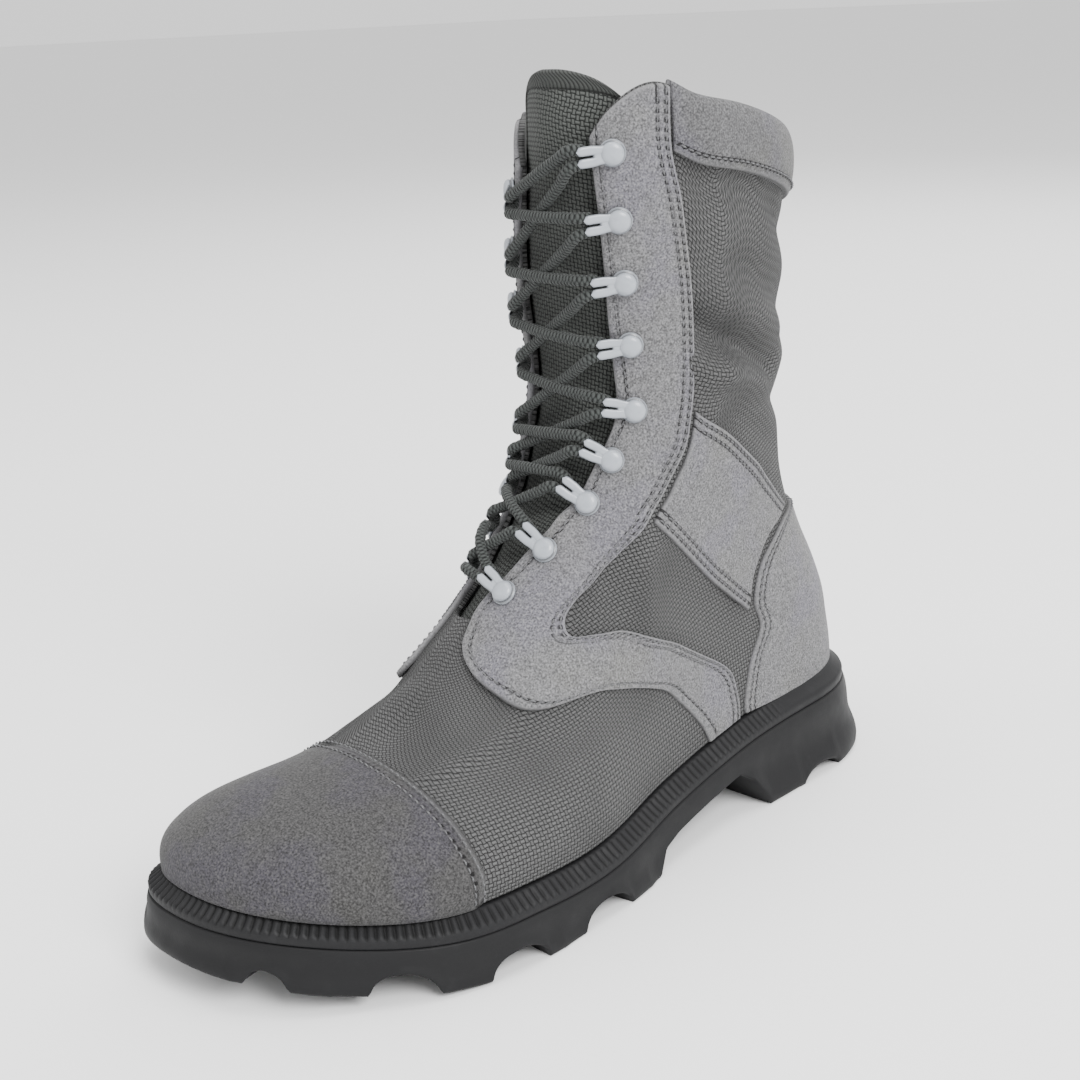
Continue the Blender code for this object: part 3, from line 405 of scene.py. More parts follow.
def height_at(angle, rise):
    """Height of a rise at an angle: the rim and the top edge are its ends."""
    share = smooth(rise, LEVEL["rise"], LEVEL["height"])
    share = share + 0.56 * np.minimum(rise, 0) + 1.4 * np.maximum(rise - 1, 0)
    top = top_height(angle)
    z = np.full(np.broadcast(angle, rise).shape, HEEL_HEIGHT)
    for _ in range(HEIGHT_PASSES):
        middle, reach = span(z)
        low = seat_height(middle + reach * np.cos(np.radians(angle))) + SEAT_GAP
        z = low + (top - low) * share
    return z


def surface(angle, rise, offset=0.0):
    """Points of the upper's outer face at an angle and a rise, moved out by an offset."""
    angle, rise = np.broadcast_arrays(np.asarray(angle, float), np.asarray(rise, float))
    return shell(angle, height_at(angle, rise), offset)


# Soft troughs and ridges of the fabric: a line between two places, its width and its height in metres
CREASES = table(
    "angle_1 rise_1 angle_2 rise_2 width height",
    (116, 0.775, 62, 0.722, 0.0050, -0.0034), (116, 0.730, 66, 0.690, 0.0052, 0.0018),
    (112, 0.700, 84, 0.730, 0.0045, 0.0012), (112, 0.815, 60, 0.770, 0.0060, 0.0018),
    (118, 0.925, 62, 0.918, 0.0040, -0.0016), (110, 0.880, 50, 0.850, 0.0070, 0.0008),
    (96, 0.845, 40, 0.800, 0.0050, -0.0009), (60, 0.900, 20, 0.880, 0.0060, -0.0010),
    (62, 0.690, 24, 0.655, 0.0060, -0.0014), (50, 0.735, 10, 0.745, 0.0060, 0.0010),
    (92, 0.655, 52, 0.600, 0.0050, -0.0010), (110, 0.455, 82, 0.330, 0.0060, -0.0009),
    (120, 0.445, 96, 0.330, 0.0050, 0.0007), (168, 0.395, 138, 0.250, 0.0070, -0.0010),
    (186, 0.400, 150, 0.240, 0.0070, 0.0007), (192, 0.350, 160, 0.210, 0.0060, -0.0008),
)
ARC_STEP = 0.00078
RISE_STEP = 0.25
CREASE_DRAFT = 0.5
CREASE_STRENGTH = 1.9
# Grids and small forms of the scene's own pieces
FINE_ROWS = 190
FINE_COLUMNS = 92
GAP_SHARE = 12
PANEL_ROWS = 90
PANEL_ACROSS = 26
STITCH_RINGS = 5
STITCH_SIDES = 6
LACE_ROUND = 0.92
TONGUE_CORNER = 0.008
SUNK = 0.0004
PUFF = 0.0009
TOP_RISE = 0.9995
WING_DIRECT = 0.066
RIB_STEP = 0.003
RIB_LIFT = 0.0012
SOLE_STOPS = 380
WELT_STOPS = 760
LUG_DEPTH = 0.013
SPRING_START = 0.72
SOLE_ROUND = 0.0006
TREAD_INSET = 0.014
TAPE_WIDTH = 0.0062
TAPE_RIBS = 0.0016
COLLAR_SEAM = 0.0032
COLLAR_END = 120.6
HEAD_SIDES = 24
HEAD_SEAT = 0.0007
HOOK_SEAT = 0.00014
PLATE_SIDES = 16
LACE_PLACES = 1100
LACE_SIDES = 12

# Sewing rows of a panel: an edge, as edge_distance numbers them, and the inset from it
BACK_SEAMS = ((2, 0.0022), (2, 0.0052))
BOTH_SEAMS = BACK_SEAMS + ((3, 0.0022), (3, 0.0052))
EYESTAY_SEAMS = BACK_SEAMS + ((3, 0.0045),)
TOE_SEAMS = ((1, 0.0024), (1, 0.0056))
STRIP_SEAMS = ((2, 0.0015), (3, 0.0015))
# How far the lace bows out: over the other strand, under it, and in its end bars
OVER_BOW = 0.0026
UNDER_BOW = 0.0002
BAR_BOW = 0.0012
# The lace's turn behind a hook: shares of LACE_SPACING and HOOK_REACH, and metres down
LACE_TURN = table(
    "shift far drop",
    (-1.0, 1.15, -0.0006), (-0.75, 0.86, -0.0019), (0.0, 0.70, -0.0025), (0.75, 0.86, -0.0019),
    (1.0, 1.15, -0.0006),
)
# Rounded section of a hook's head: shares of its radius and height
HEAD = table(
    "wide high",
    (0.0, 0.0), (0.86, 0.0), (1.0, 0.07), (1.0, 0.20), (0.86, 0.29), (0.80, 0.33), (0.86, 0.42),
    (0.86, 0.60), (0.74, 0.82), (0.50, 0.95), (0.24, 1.0), (0.0, 1.01),
)


def length_property(label, words, value):
    return bpy.props.FloatProperty(name=label, description=words, default=value, unit="LENGTH")


def colour_property(label, words, value):
    return bpy.props.FloatVectorProperty(
        name=label, description=words, default=value, size=3, min=0, max=1, subtype="COLOR"
    )


class BootSizes(bpy.types.PropertyGroup):
    """Sizes that a user would change"""

    weave: length_property("Weave", "Pitch of the fabric's basket weave", 0.0016)
    stitch_pitch: length_property("Stitch pitch", "Distance from stitch to stitch", 0.0029)
    stitch_length: length_property("Stitch length", "Length of one stitch", 0.0021)
    thread: length_property("Thread", "Radius of the sewing thread", 0.00034)
    edge_roll: length_property("Edge roll", "Width of the rounding at a panel's cut edge", 0.0012)
    braid: length_property("Braid", "Pitch of the lace's ribs", 0.0013)
    creases: bpy.props.FloatProperty(
        name="Creases", description="Strength of the fabric's folds", default=1.0, subtype="FACTOR"
    )


class BootColours(bpy.types.PropertyGroup):
    """Colours that a user would change"""

    suede: colour_property("Suede", "Panels of the shaft", (0.128, 0.127, 0.130))
    toe_suede: colour_property("Toe suede", "Toe cap", (0.048, 0.047, 0.047))
    nylon: colour_property("Fabric", "Woven fabric of the upper", (0.041, 0.041, 0.041))
    tongue_cloth: colour_property("Tongue", "Woven fabric of the tongue", (0.031, 0.033, 0.031))
    rubber: colour_property("Rubber", "Sole and ledge", (0.0065, 0.0065, 0.007))
    insole_cloth: colour_property("Insole", "Footbed", (0.06, 0.06, 0.06))
    lining: colour_property("Lining", "Inside of the wall", (0.038, 0.04, 0.038))
    hook_paint: colour_property("Hooks", "Painted hooks", (0.29, 0.31, 0.34))
    lace_cord: colour_property("Lace", "Braided lace", (0.019, 0.021, 0.020))
    thread: colour_property("Thread", "Sewing thread", (0.10, 0.10, 0.104))
    floor: colour_property("Floor", "Plain floor", (0.86, 0.86, 0.86))


class Wire:
    """A value socket that Python's operators extend with Math nodes."""

    def __init__(self, finish, socket):
        self.finish = finish
        self.socket = socket

    def math(self, operation, *others):
        values = [self] + list(others)
        made = self.finish.node("ShaderNodeMath", {"operation": operation}, dict(enumerate(values)))
        return Wire(self.finish, made.outputs[0])

    def __add__(self, other):
        return self.math("ADD", other)

    __radd__ = __add__

    def __mul__(self, other):
        return self.math("MULTIPLY", other)

    __rmul__ = __mul__

    def __sub__(self, other):
        return self.math("SUBTRACT", other)

    def __rsub__(self, other):
        return (self * -1) + other

    def __truediv__(self, other):
        return self.math("DIVIDE", other)

    def __abs__(self):
        return self.math("ABSOLUTE")

    def step(self, low, high):
        """Soft step from 0 at low to 1 at high."""
        made = self.finish.node(
            "ShaderNodeMapRange",
            {"interpolation_type": "SMOOTHSTEP"},
            {"Value": self, "From Min": low, "From Max": high},
        )
        return Wire(self.finish, made.outputs[0])


class Finish:
    """One procedural material: a tone that starts as its colour, and the nodes behind its shader."""

    def __init__(self, name, colour, roughness, **constants):
        self.colour = self.tone = colour
        self.material = bpy.data.materials.new(name)
        self.material.use_nodes = True
        self.tree = self.material.node_tree
        self.shader = self.tree.nodes["Principled BSDF"]
        self.shader.inputs["Roughness"].default_value = roughness
        for socket, value in constants.items():
            self.shader.inputs[socket.replace("_", " ")].default_value = value

    def node(self, kind, settings=None, inputs=None):
        """A node of a type, its settings first, then the values or links of its sockets."""
        made = self.tree.nodes.new(kind)
        for key, value in (settings or {}).items():
            setattr(made, key, value)
        for key, value in (inputs or {}).items():
            value = value.socket if isinstance(value, Wire) else value
            if isinstance(value, bpy.types.NodeSocket):
                self.tree.links.new(value, made.inputs[key])
            else:
                made.inputs[key].default_value = value
        return made

    def noise(self, scale, detail=2.0):
        """Noise over the piece, its scale in spots a metre."""
        vector = self.node("ShaderNodeTexCoord").outputs["Object"]
        made = self.node("ShaderNodeTexNoise", None, {"Vector": vector, "Scale": scale, "Detail": detail})
        return Wire(self, made.outputs["Fac"])

    def attribute(self, name):
        return Wire(self, self.node("ShaderNodeAttribute", {"attribute_name": name}).outputs["Fac"])

    def along(self):
        """The piece's own two lengths in metres, from its UV map."""
        vector = self.node("ShaderNodeUVMap", {"uv_map": "lengths"}).outputs["UV"]
        parts = self.node("ShaderNodeSeparateXYZ", None, {0: vector})
        return Wire(self, parts.outputs["X"]), Wire(self, parts.outputs["Y"])

    def waves(self, along, pitch):
        """Sine along a length, from one thread to the next."""
        return (along * (np.pi / pitch)).math("SINE")

    def woven(self, pitch, softness):
        """Two crossing sets of threads: its lengths, which set lies on top, and its height."""
        across, up = self.along()
        warp, weft = self.waves(across, pitch), self.waves(up, pitch)
        over = (warp * weft).step(-softness, softness)
        return across, up, over, abs(warp) * over + abs(weft) * (1 - over)

    def mix(self, share, first, second):
        """A colour between two colours."""
        colours = {0: share, 6: colour4(first), 7: colour4(second)}
        return self.node("ShaderNodeMix", {"data_type": "RGBA"}, colours).outputs[2]

    def range(self, share, dark, light):
        """A colour between two shades of the finish's own."""
        return self.mix(share, shade(self.colour, dark), shade(self.colour, light))

    def tint(self, share, factor):
        """Moves the tone by a share towards a shade of the finish's own colour."""
        self.tone = self.mix(share, self.tone, shade(self.colour, factor))

    def paint(self, height=None, strength=0.5, distance=0.0003, roughness=None):
        """Puts the tone and a height in metres on the shader."""
        if isinstance(self.tone, bpy.types.NodeSocket):
            self.tree.links.new(self.tone, self.shader.inputs["Base Color"])
        else:
            self.shader.inputs["Base Color"].default_value = colour4(self.tone)
        if height is not None:
            relief = {"Strength": strength, "Distance": distance, "Height": height}
            bump = self.node("ShaderNodeBump", None, relief)
            self.tree.links.new(bump.outputs[0], self.shader.inputs["Normal"])
        if roughness is not None:
            self.tree.links.new(roughness.socket, self.shader.inputs["Roughness"])
        return self.material


def colour4(value):
    """A colour with its alpha, or a socket as it is."""
    if isinstance(value, bpy.types.NodeSocket):
        return value
    return (*value, 1.0)


def shade(colour, factor):
    """A colour made darker or lighter by a factor."""
    return tuple(min(1.0, part * factor) for part in colour)


def suede_finish(name, colour, pitch, tint=0.10):
    """Short nap: soft blotches, fine grain, a painted highlight along the rolled cut edge and painted shade
    where that edge sinks to the part below, and painted shade in the sewn grooves and needle holes.
    """
    finish = Finish(name, colour, 0.93, Specular_IOR_Level=0.15, Sheen_Weight=0.08, Sheen_Roughness=0.5)
    red, green, blue = colour
    grain, nap = finish.noise(1450.0), finish.noise(380.0, 3.0)
    violet = (red * 0.97, green * 0.93, blue * 1.13)
    olive = (red, green, blue * 0.88)
    finish.tone = finish.mix(finish.noise(38.0, 3.0).step(0.44, 0.62) * tint * 6, colour, violet)
    finish.tone = finish.mix(finish.noise(23.0).step(0.52, 0.70) * tint * 5, finish.tone, olive)
    finish.tint(nap.step(0.35, 0.75) * 0.45, 0.58)
    finish.tint(grain.step(0.48, 0.74) * 0.80, 1.7)
    finish.tint(grain.step(0.52, 0.28) * 0.85, 0.35)
    edge, seam = finish.attribute("edge"), finish.attribute("seam")
    # Painted highlight on the rolled cut edge, then painted shade where the edge sinks to the part below.
    finish.tint(edge.step(0.0017, 0.0005) * 0.45, 1.5)
    finish.tint(edge.step(0.0005, 0.0) * 0.75, 0.35)
    sewn = seam.step(0.0009, 0.0003)
    # Painted shade in the sewn groove.
    finish.tint(sewn * 0.45, 0.45)
    beat = abs(finish.waves(finish.attribute("run"), pitch))
    holes = beat.step(0.75, 0.50) * seam.step(0.0009, 0.0005)
    # Painted shade in the needle holes.
    finish.tint(holes * 0.92, 0.10)
    return finish.paint(grain * 0.6 + nap * 0.5 - sewn * 0.5 - holes * 1.2, 0.7, 0.0005)


def weave_finish(name, colour, pitch):
    """Basket weave: two crossing sets of threads, each over and under in turn, of three strands, with painted
    highlights on the threads' crowns and painted shade in the hollows between them.
    """
    finish = Finish(name, colour, 0.88, Specular_IOR_Level=0.15, Sheen_Weight=0.04)
    across, up, over, height = finish.woven(pitch, 0.08)
    strands = abs(finish.waves(up, pitch / 3)) * over + abs(finish.waves(across, pitch / 3)) * (1 - over)
    body = height * 0.8 + strands * 0.2
    # Painted light and shade on the thread relief: crowns lighter, hollows between threads darker.
    finish.tone = finish.range(body.step(0.15, 0.95), 0.06, 2.5)
    finish.tint(over * 0.30, 0.70)
    finish.tint(finish.noise(26.0, 3.0).step(0.40, 0.66) * 0.25, 0.68)
    finish.tint(finish.noise(700.0).step(0.52, 0.74) * 0.3, 1.7)
    return finish.paint(body, 1.0, 0.0006)


def tongue_finish(colour, pitch):
    """Dark weave with a ribbed tape along the edge, painted highlights on the crowns of threads and ribs with
    painted shade between them, and a line of painted shade where the tape steps down to the cloth.
    """
    finish = Finish("tongue_cloth", colour, 0.9, Specular_IOR_Level=0.15, Sheen_Weight=0.05)
    body = finish.woven(pitch, 0.1)[3]
    edge = finish.attribute("edge")
    tape = edge.step(TAPE_WIDTH, TAPE_WIDTH - 0.0006)
    ribs = abs(finish.waves(finish.attribute("tape_run"), TAPE_RIBS))
    # Painted highlights on the threads' crowns, painted shade between them.
    cloth = finish.range(body.step(0.2, 0.95), 0.35, 2.2)
    # The tape's ribs: painted highlights on their crowns, painted shade between them.
    finish.tone = finish.mix(tape, cloth, finish.range(ribs.step(0.1, 0.9), 0.5, 1.25))
    # A line of painted shade where the tape steps down to the cloth.
    finish.tint(abs(edge - (TAPE_WIDTH - 0.0003)).step(0.0006, 0.0001) * 0.8, 0.25)
    return finish.paint(body * (1 - tape) + (ribs * 0.7 + 0.9) * tape, 0.8, 0.0006)


def rubber_finish(name, colour, shade_grooves=False):
    """Matt moulded rubber: faint dust, fine grain, rubbed spots, and painted shade in its grooves where it has
    them.
    """
    finish = Finish(name, colour, 0.62, Specular_IOR_Level=0.2)
    dust, grain = finish.noise(60.0, 4.0), finish.noise(1500.0)
    finish.tint(dust.step(0.42, 0.70) * 0.35, 1.7)
    finish.tint(grain.step(0.5, 0.8) * 0.25, 1.5)
    finish.tint(finish.noise(140.0, 3.0).step(0.60, 0.72) * 0.18, 2.4)
    if shade_grooves:
        # Painted shade in the grooves between the ledge's ribs.
        finish.tint(finish.attribute("painted_shade").step(0.15, 0.8) * 0.85, 0.2)
    rough = dust.step(0.3, 0.7) * 0.16 + 0.54
    return finish.paint(grain * 0.6 + dust * 0.4, 0.25, 0.0003, rough)


def hook_finish(colour):
    """Satin paint, a little worn, with painted shade in the head's neck and on the sides and underside of its
    plate and prongs.
    """
    finish = Finish("hook_paint", colour, 0.34, Coat_Weight=0.3, Coat_Roughness=0.2)
    wear = finish.noise(420.0, 3.0)
    finish.tint(wear.step(0.52, 0.72) * 0.22, 0.7)
    # Painted shade in the head's neck and on the sides and underside of plate and prongs.
    finish.tint(finish.attribute("painted_shade") * 0.92, 0.10)
    return finish.paint(wear, 0.08, 0.0002)


def lace_finish(colour, pitch, radius):
    """Round braid: ribs slanted both ways, three to a turn, with painted highlights on their crowns and painted
    shade between them.
    """
    finish = Finish("lace_cord", colour, 0.86, Specular_IOR_Level=0.2, Sheen_Weight=0.08)
    around, along_cord = finish.along()
    turns = around * (3 / (2 * np.pi * radius))
    left, right = (abs(finish.waves(along_cord / pitch + slant, 1)) for slant in (turns, turns * -1))
    height = (left + right) * 0.6
    # Painted highlights on the ribs' crowns, painted shade between them.
    finish.tone = finish.range(height.step(0.35, 1.1), 0.25, 2.4)
    finish.tint(finish.noise(900.0).step(0.55, 0.75) * 0.4, 3.4)
    return finish.paint(height, 0.9, 0.0006)


def thread_finish(colour):
    """Twisted sewing thread."""
    finish = Finish("thread", colour, 0.8)
    finish.tone = finish.range(finish.noise(2600.0, 1.0).step(0.4, 0.65), 0.6, 1.3)
    return finish.paint()


def plain_finish(name, colour):
    """Flat cloth with a faint fleck."""
    finish = Finish(name, colour, 0.9)
    fleck = finish.noise(700.0, 3.0)
    finish.tint(fleck.step(0.45, 0.7) * 0.5, 1.5)
    return finish.paint(fleck, 0.3, 0.0003)


def add_piece(name, points, faces, material, nodes, lengths=None, values=None, turn=True):
    """A shaded piece from points and faces, on the root body, standing for its frame nodes."""
    mesh = bpy.data.meshes.new(name)
    mesh.from_pydata(np.reshape(points, (-1, 3)).tolist(), [], faces)
    for key, value in (values or {}).items():
        field = mesh.attributes.new(key, "FLOAT", "POINT")
        field.data.foreach_set("value", np.asarray(value, np.float32).ravel())
    if lengths is not None:
        corner = np.empty(len(mesh.loops), np.int32)
        mesh.loops.foreach_get("vertex_index", corner)
        layer = mesh.uv_layers.new(name="lengths")
        layer.data.foreach_set("uv", np.reshape(lengths, (-1, 2))[corner].astype(np.float32).ravel())
    shape = bmesh.new()
    shape.from_mesh(mesh)
    bmesh.ops.remove_doubles(shape, verts=shape.verts, dist=1e-6)
    if turn:
        bmesh.ops.recalc_face_normals(shape, faces=shape.faces)
    shape.to_mesh(mesh)
    shape.free()
    mesh.shade_smooth()
    mesh.materials.append(material)
    piece = bpy.data.objects.new(name, mesh)
    bpy.context.scene.collection.objects.link(piece)
    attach(piece, "root")
    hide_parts(*nodes)
    return piece


def quads(rows, columns, around=False, along_rows=False):
    """Faces of a grid of points as whole arrays; around closes its rows and along_rows its columns."""
    i = np.arange(rows if along_rows else rows - 1)[:, None]
    j = np.arange(columns if around else columns - 1)[None, :]
    down = (i + 1) % rows
    right = (j + 1) % columns
    corners = [i * columns + j, i * columns + right, down * columns + right, down * columns + j]
    return np.stack(np.broadcast_arrays(*corners), axis=-1).reshape(-1, 4)


def copies(faces, size, count):
    """The same faces for each of several equal groups of points."""
    starts = size * np.arange(count)[:, None, None]
    return (np.asarray(faces)[None] + starts).reshape(-1, np.shape(faces)[1]).tolist()


def add_sheet(name, outer, inner, lengths, values, material, nodes):
    """A closed piece from two equal grids, joined round their edges where they part."""
    rows, columns = outer.shape[:2]
    size = rows * columns
    outer, inner = outer.reshape(-1, 3), inner.reshape(-1, 3)
    ends = np.concatenate([
        np.arange(columns),
        np.arange(1, rows) * columns + columns - 1,
        size - 1 - np.arange(1, columns),
        np.arange(rows - 2, 0, -1) * columns,
    ])
    following = np.roll(ends, -1)
    walls = np.stack([ends, following, following + size, ends + size], axis=-1)
    parted = np.linalg.norm(outer[ends] - inner[ends], axis=1) > 2e-6
    faces = copies(quads(rows, columns), size, 2) + walls[parted | np.roll(parted, -1)].tolist()
    lengths = np.tile(np.stack(lengths, axis=-1).reshape(-1, 2), (2, 1))
    values = {key: np.tile(value.ravel(), 2) for key, value in values.items()}
    add_piece(name, np.concatenate([outer, inner]), faces, material, nodes, lengths, values)


def ring(turn, side, up):
    """Directions round a thread at each of its places: cosine to its side and sine upwards."""
    return np.cos(turn)[:, None] * side[..., None, :] + np.sin(turn)[:, None] * up[..., None, :]


def run_length(points, axis):
    """Length along a grid's lines from their first point."""
    step = np.linalg.norm(np.diff(points, axis=axis), axis=-1)
    zero = np.zeros_like(np.take(step, [0], axis=axis))
    return np.concatenate([zero, np.cumsum(step, axis=axis)], axis=axis)


def crease(angle, rise):
    """Height of the fabric's folds: each line of CREASES adds a bell of its height across its width."""
    turn = (angle + 180) % 360 - 180
    total = np.zeros(np.broadcast(angle, rise).shape)
    for side in (1, -1):
        here = np.stack(np.broadcast_arrays(turn * side * ARC_STEP, rise * RISE_STEP), axis=-1)
        for a1, r1, a2, r2, width, height in zip(*CREASES.values()):
            start = np.array([a1 * ARC_STEP, r1 * RISE_STEP])
            reach = np.array([a2 * ARC_STEP, r2 * RISE_STEP]) - start
            t = np.clip((here - start) @ reach / (reach @ reach), 0, 1)
            away = np.linalg.norm(here - start - t[..., None] * reach, axis=-1)
            wave = np.sin(np.pi * np.clip(0.12 + 0.76 * t, 0, 1)) ** CREASE_DRAFT
            total = total + CREASE_STRENGTH * height * wave * np.exp(-((away / width) ** 2))
    return total


def fine_angles(rise):
    """Angles of a fabric row: medial side, lateral side, then the throat's gap."""
    lateral = smooth(rise, THROAT["rise"], THROAT["lateral"])
    medial = smooth(rise, THROAT["rise"], THROAT["medial"])
    side = np.linspace(0, 1, FINE_COLUMNS + 1)
    left = -medial[:, None] * (1 - side[None, :-1])
    right = lateral[:, None] * side[None]
    share = np.linspace(0, 1, GAP_SHARE + 1)[None, 1:-1]
    gap = lateral[:, None] * (1 - share) + (360 - medial)[:, None] * share
    return np.concatenate([left, right, gap], axis=1)


def make_upper(sizes, colours):
    """The woven wall: the boot's form over rows of rises, moved out by the folds, with a wall inside."""
    below = np.linspace(0, THROAT_BASE, int(FINE_ROWS * 0.55))
    above = np.linspace(THROAT_BASE, 1, int(FINE_ROWS * 0.45))[1:]
    rises = np.concatenate([below, above])
    angle = fine_angles(rises)
    points = surface(angle, rises[:, None], sizes.creases * crease(angle, rises[:, None]))
    rows, columns = angle.shape
    round_it = run_length(points, 1)
    run = unit(np.roll(points, -1, axis=1) - np.roll(points, 1, axis=1))
    apart = np.linalg.norm(np.cross(np.diff(points, axis=0), run[1:]), axis=-1)
    climb = np.concatenate([np.zeros((1, columns)), np.cumsum(apart, axis=0)])
    lengths = np.stack([round_it - round_it[:, FINE_COLUMNS : FINE_COLUMNS + 1], climb], axis=-1)
    keep = np.ones((rows - 1, columns), bool)
    keep[np.ix_(rises[:-1] >= THROAT_BASE - 1e-9, np.arange(2 * FINE_COLUMNS, columns))] = False
    kept = quads(rows, columns, around=True)[keep.ravel()]
    used = np.unique(kept)
    place = np.full(rows * columns, -1)
    place[used] = np.arange(len(used))
    upper = add_piece(
        "upper_fabric",
        points.reshape(-1, 3)[used],
        place[kept].tolist(),
        weave_finish("nylon", colours.nylon, sizes.weave),
        ["upper"],
        lengths.reshape(-1, 2)[used],
        turn=False,
    )
    upper.data.materials.append(plain_finish("lining", colours.lining))
    face_out(upper.data)
    wall = upper.modifiers.new("wall", "SOLIDIFY")
    wall.thickness = WALL
    wall.offset = -1
    wall.material_offset = 1


def face_out(mesh):
    """Turns an open sheet's faces away from the boot's middle."""
    shape = bmesh.new()
    shape.from_mesh(mesh)
    middle = Vector((0, -0.05, SHAFT_HEIGHT / 2))
    away = [(face.calc_center_median() - middle).dot(face.normal) * face.calc_area() for face in shape.faces]
    if sum(away) < 0:
        bmesh.ops.reverse_faces(shape, faces=shape.faces)
    shape.to_mesh(mesh)
    shape.free()


def eased(count):
    """Shares from 0 to 1, closer together at both ends."""
    t = np.linspace(0, 1, count)
    return 0.35 * t + 0.65 * (0.5 - 0.5 * np.cos(np.pi * t))


def between(first, last, rows, across):
    """A grid of angles and rises between two edges given row by row."""
    places = np.arange(len(first[0]), dtype=float)
    t = eased(rows) * places[-1]
    first, last = (np.stack([smooth(t, places, part) for part in edge], axis=-1) for edge in (first, last))
    share = eased(across)[None, :, None]
    return first[:, None] * (1 - share) + last[:, None] * share


def inside_edges(upper, lower, front, back, rows, across):
    """A grid of angles and rises inside four edges, blended from all of them."""

    def line(edge, shares):
        steps = np.hypot(np.diff(edge["angle"]) / 100, np.diff(edge["rise"]))
        length = np.concatenate([[0], np.cumsum(steps)])
        t = shares * length[-1]
        return np.stack([smooth(t, length, edge["angle"]), smooth(t, length, edge["rise"])], axis=-1)

    s, t = eased(rows), eased(across)
    a, b, f, k = line(upper, s), line(lower, s), line(front, t), line(back, t)
    s = s[:, None, None]
    t = t[None, :, None]
    corners = (1 - s) * ((1 - t) * a[0] + t * b[0]) + s * ((1 - t) * a[-1] + t * b[-1])
    return (1 - t) * a[:, None] + t * b[:, None] + (1 - s) * f[None] + s * k[None] - corners


def edge_distance(points):
    """Distance of each grid point from the four edges: first and last row, first and last column."""
    down, over = run_length(points, 0), run_length(points, 1)
    return down, down[-1:] - down, over, over[:, -1:] - over


def panel_lift(distance, roll, thickness):
    """A quarter round: sunk at the edge, and the panel's full thickness from the roll inwards."""
    t = np.clip(distance / roll, 0, 1)
    full = GAP + thickness
    return -SUNK + (full + SUNK) * np.sqrt(1 - (1 - t) ** 2)


def seam_distance(edges, seams):
    """Distance of each grid point from the nearest row of stitches."""
    near = np.full(edges[0].shape, 1.0)
    for side, inset in seams:
        near = np.minimum(near, np.abs(edges[side] - inset))
    return near


def make_panel(name, form, sizes, material, nodes, seams, free=()):
    """A sewn panel: form(offset) gives its grid, raised to its thickness and rolled down at its edges."""
    edges = edge_distance(form(0.0))
    near = np.min([edges[k] for k in range(4) if k not in free], axis=0)
    sewn = seam_distance(edges, seams)
    puff = 1 - 0.10 * np.exp(-((sewn / PUFF) ** 2))
    high = form(panel_lift(near, sizes.edge_roll, OVERLAY * puff))
    low = form(np.full(near.shape, -SUNK))
    run = np.where(np.minimum(edges[2], edges[3]) < np.minimum(edges[0], edges[1]), edges[0], edges[2])
    values = {"edge": near, "seam": sewn, "run": run}
    add_sheet(name, high, low, (edges[2], edges[0]), values, material, nodes)


def inset_line(points, edges, side, inset):
    """The line of a panel's grid at an inset from one of its edges."""
    across = points if side in (0, 1) else points.swapaxes(0, 1)
    away = edges[side] if side in (0, 1) else edges[side].T
    if side in (1, 3):
        across, away = across[::-1], away[::-1]
    k = np.clip(np.sum(away < inset, axis=0) - 1, 0, len(away) - 2)
    column = np.arange(away.shape[1])
    low, high = away[k, column], away[k + 1, column]
    t = np.clip((inset - low) / np.maximum(high - low, 1e-9), 0, 1)[:, None]
    return across[k, column] * (1 - t) + across[k + 1, column] * t


def stitch_row(line, out, sizes):
    """Stitches along a line: each a short thread whose middle stands up and whose ends dive in."""
    length = run_length(line, 0)
    count = int((length[-1] - sizes.stitch_pitch) / sizes.stitch_pitch)
    start = (np.arange(count) + 0.5) * sizes.stitch_pitch
    t = np.linspace(0, 1, STITCH_RINGS)
    at = start[:, None] + t[None] * sizes.stitch_length
    path = np.stack([np.interp(at, length, line[:, i]) for i in range(3)], axis=-1)
    normal = unit(np.stack([np.interp(at, length, out[:, i]) for i in range(3)], axis=-1))
    side = unit(np.cross(np.gradient(path, axis=1), normal))
    bow = sizes.thread * (1.5 * np.sin(np.pi * t) - 0.9)
    girth = sizes.thread * (0.55 + 0.45 * np.sin(np.pi * t))
    turn = np.linspace(0, 2 * np.pi, STITCH_SIDES + 1)[:-1]
    path = path + normal * bow[None, :, None]
    return path[:, :, None] + ring(turn, side, normal) * girth[None, :, None, None]


def add_stitches(name, rows, material):
    """All stitches of a group as one piece of closed threads."""
    threads = np.concatenate(rows)
    size = STITCH_RINGS * STITCH_SIDES
    ends = np.arange(STITCH_SIDES)
    caps = copies([ends[::-1], size - STITCH_SIDES + ends], size, len(threads))
    sides = copies(quads(STITCH_RINGS, STITCH_SIDES, around=True), size, len(threads))
    add_piece(name, threads, sides + caps, material, [])


def panel_stitches(form, seams, sizes):
    """Stitch rows of a panel, on its raised face."""
    base = form(0.0)
    edges = edge_distance(base)
    face = form(np.full(base.shape[:2], GAP + OVERLAY))
    rows = []
    for side, inset in seams:
        line = inset_line(face, edges, side, inset)
        rows.append(stitch_row(line, line - inset_line(base, edges, side, inset), sizes))
    return rows


def patch(grid, side):
    """The form of a panel whose grid holds angles and rises."""
    angle, rise = grid[..., 0] * side, grid[..., 1]
    return lambda offset: surface(angle, rise, offset + 0 * angle)


def true_edge(angles, rises, side, rows):
    """An edge's places at fine rows: a cubic through its table's places on the boot."""
    places = surface(angles * side, rises, 0.0)
    index = np.arange(len(angles), dtype=float)
    t = eased(rows) * index[-1]
    return np.stack([smooth(t, index, places[:, i]) for i in range(3)], axis=-1)


def angle_of(line, side):
    """Angle of places near the boot's surface, from their length and height and the side they lie on."""
    middle, reach = span(line[..., 2])
    turn = np.degrees(np.arccos(np.clip((line[..., 1] - middle) / reach, -1, 1)))
    beyond = (line[..., 0] - section_centre(line[..., 1], line[..., 2])) * side < 0
    return np.where(beyond & (turn > 120), 360 - turn, turn)


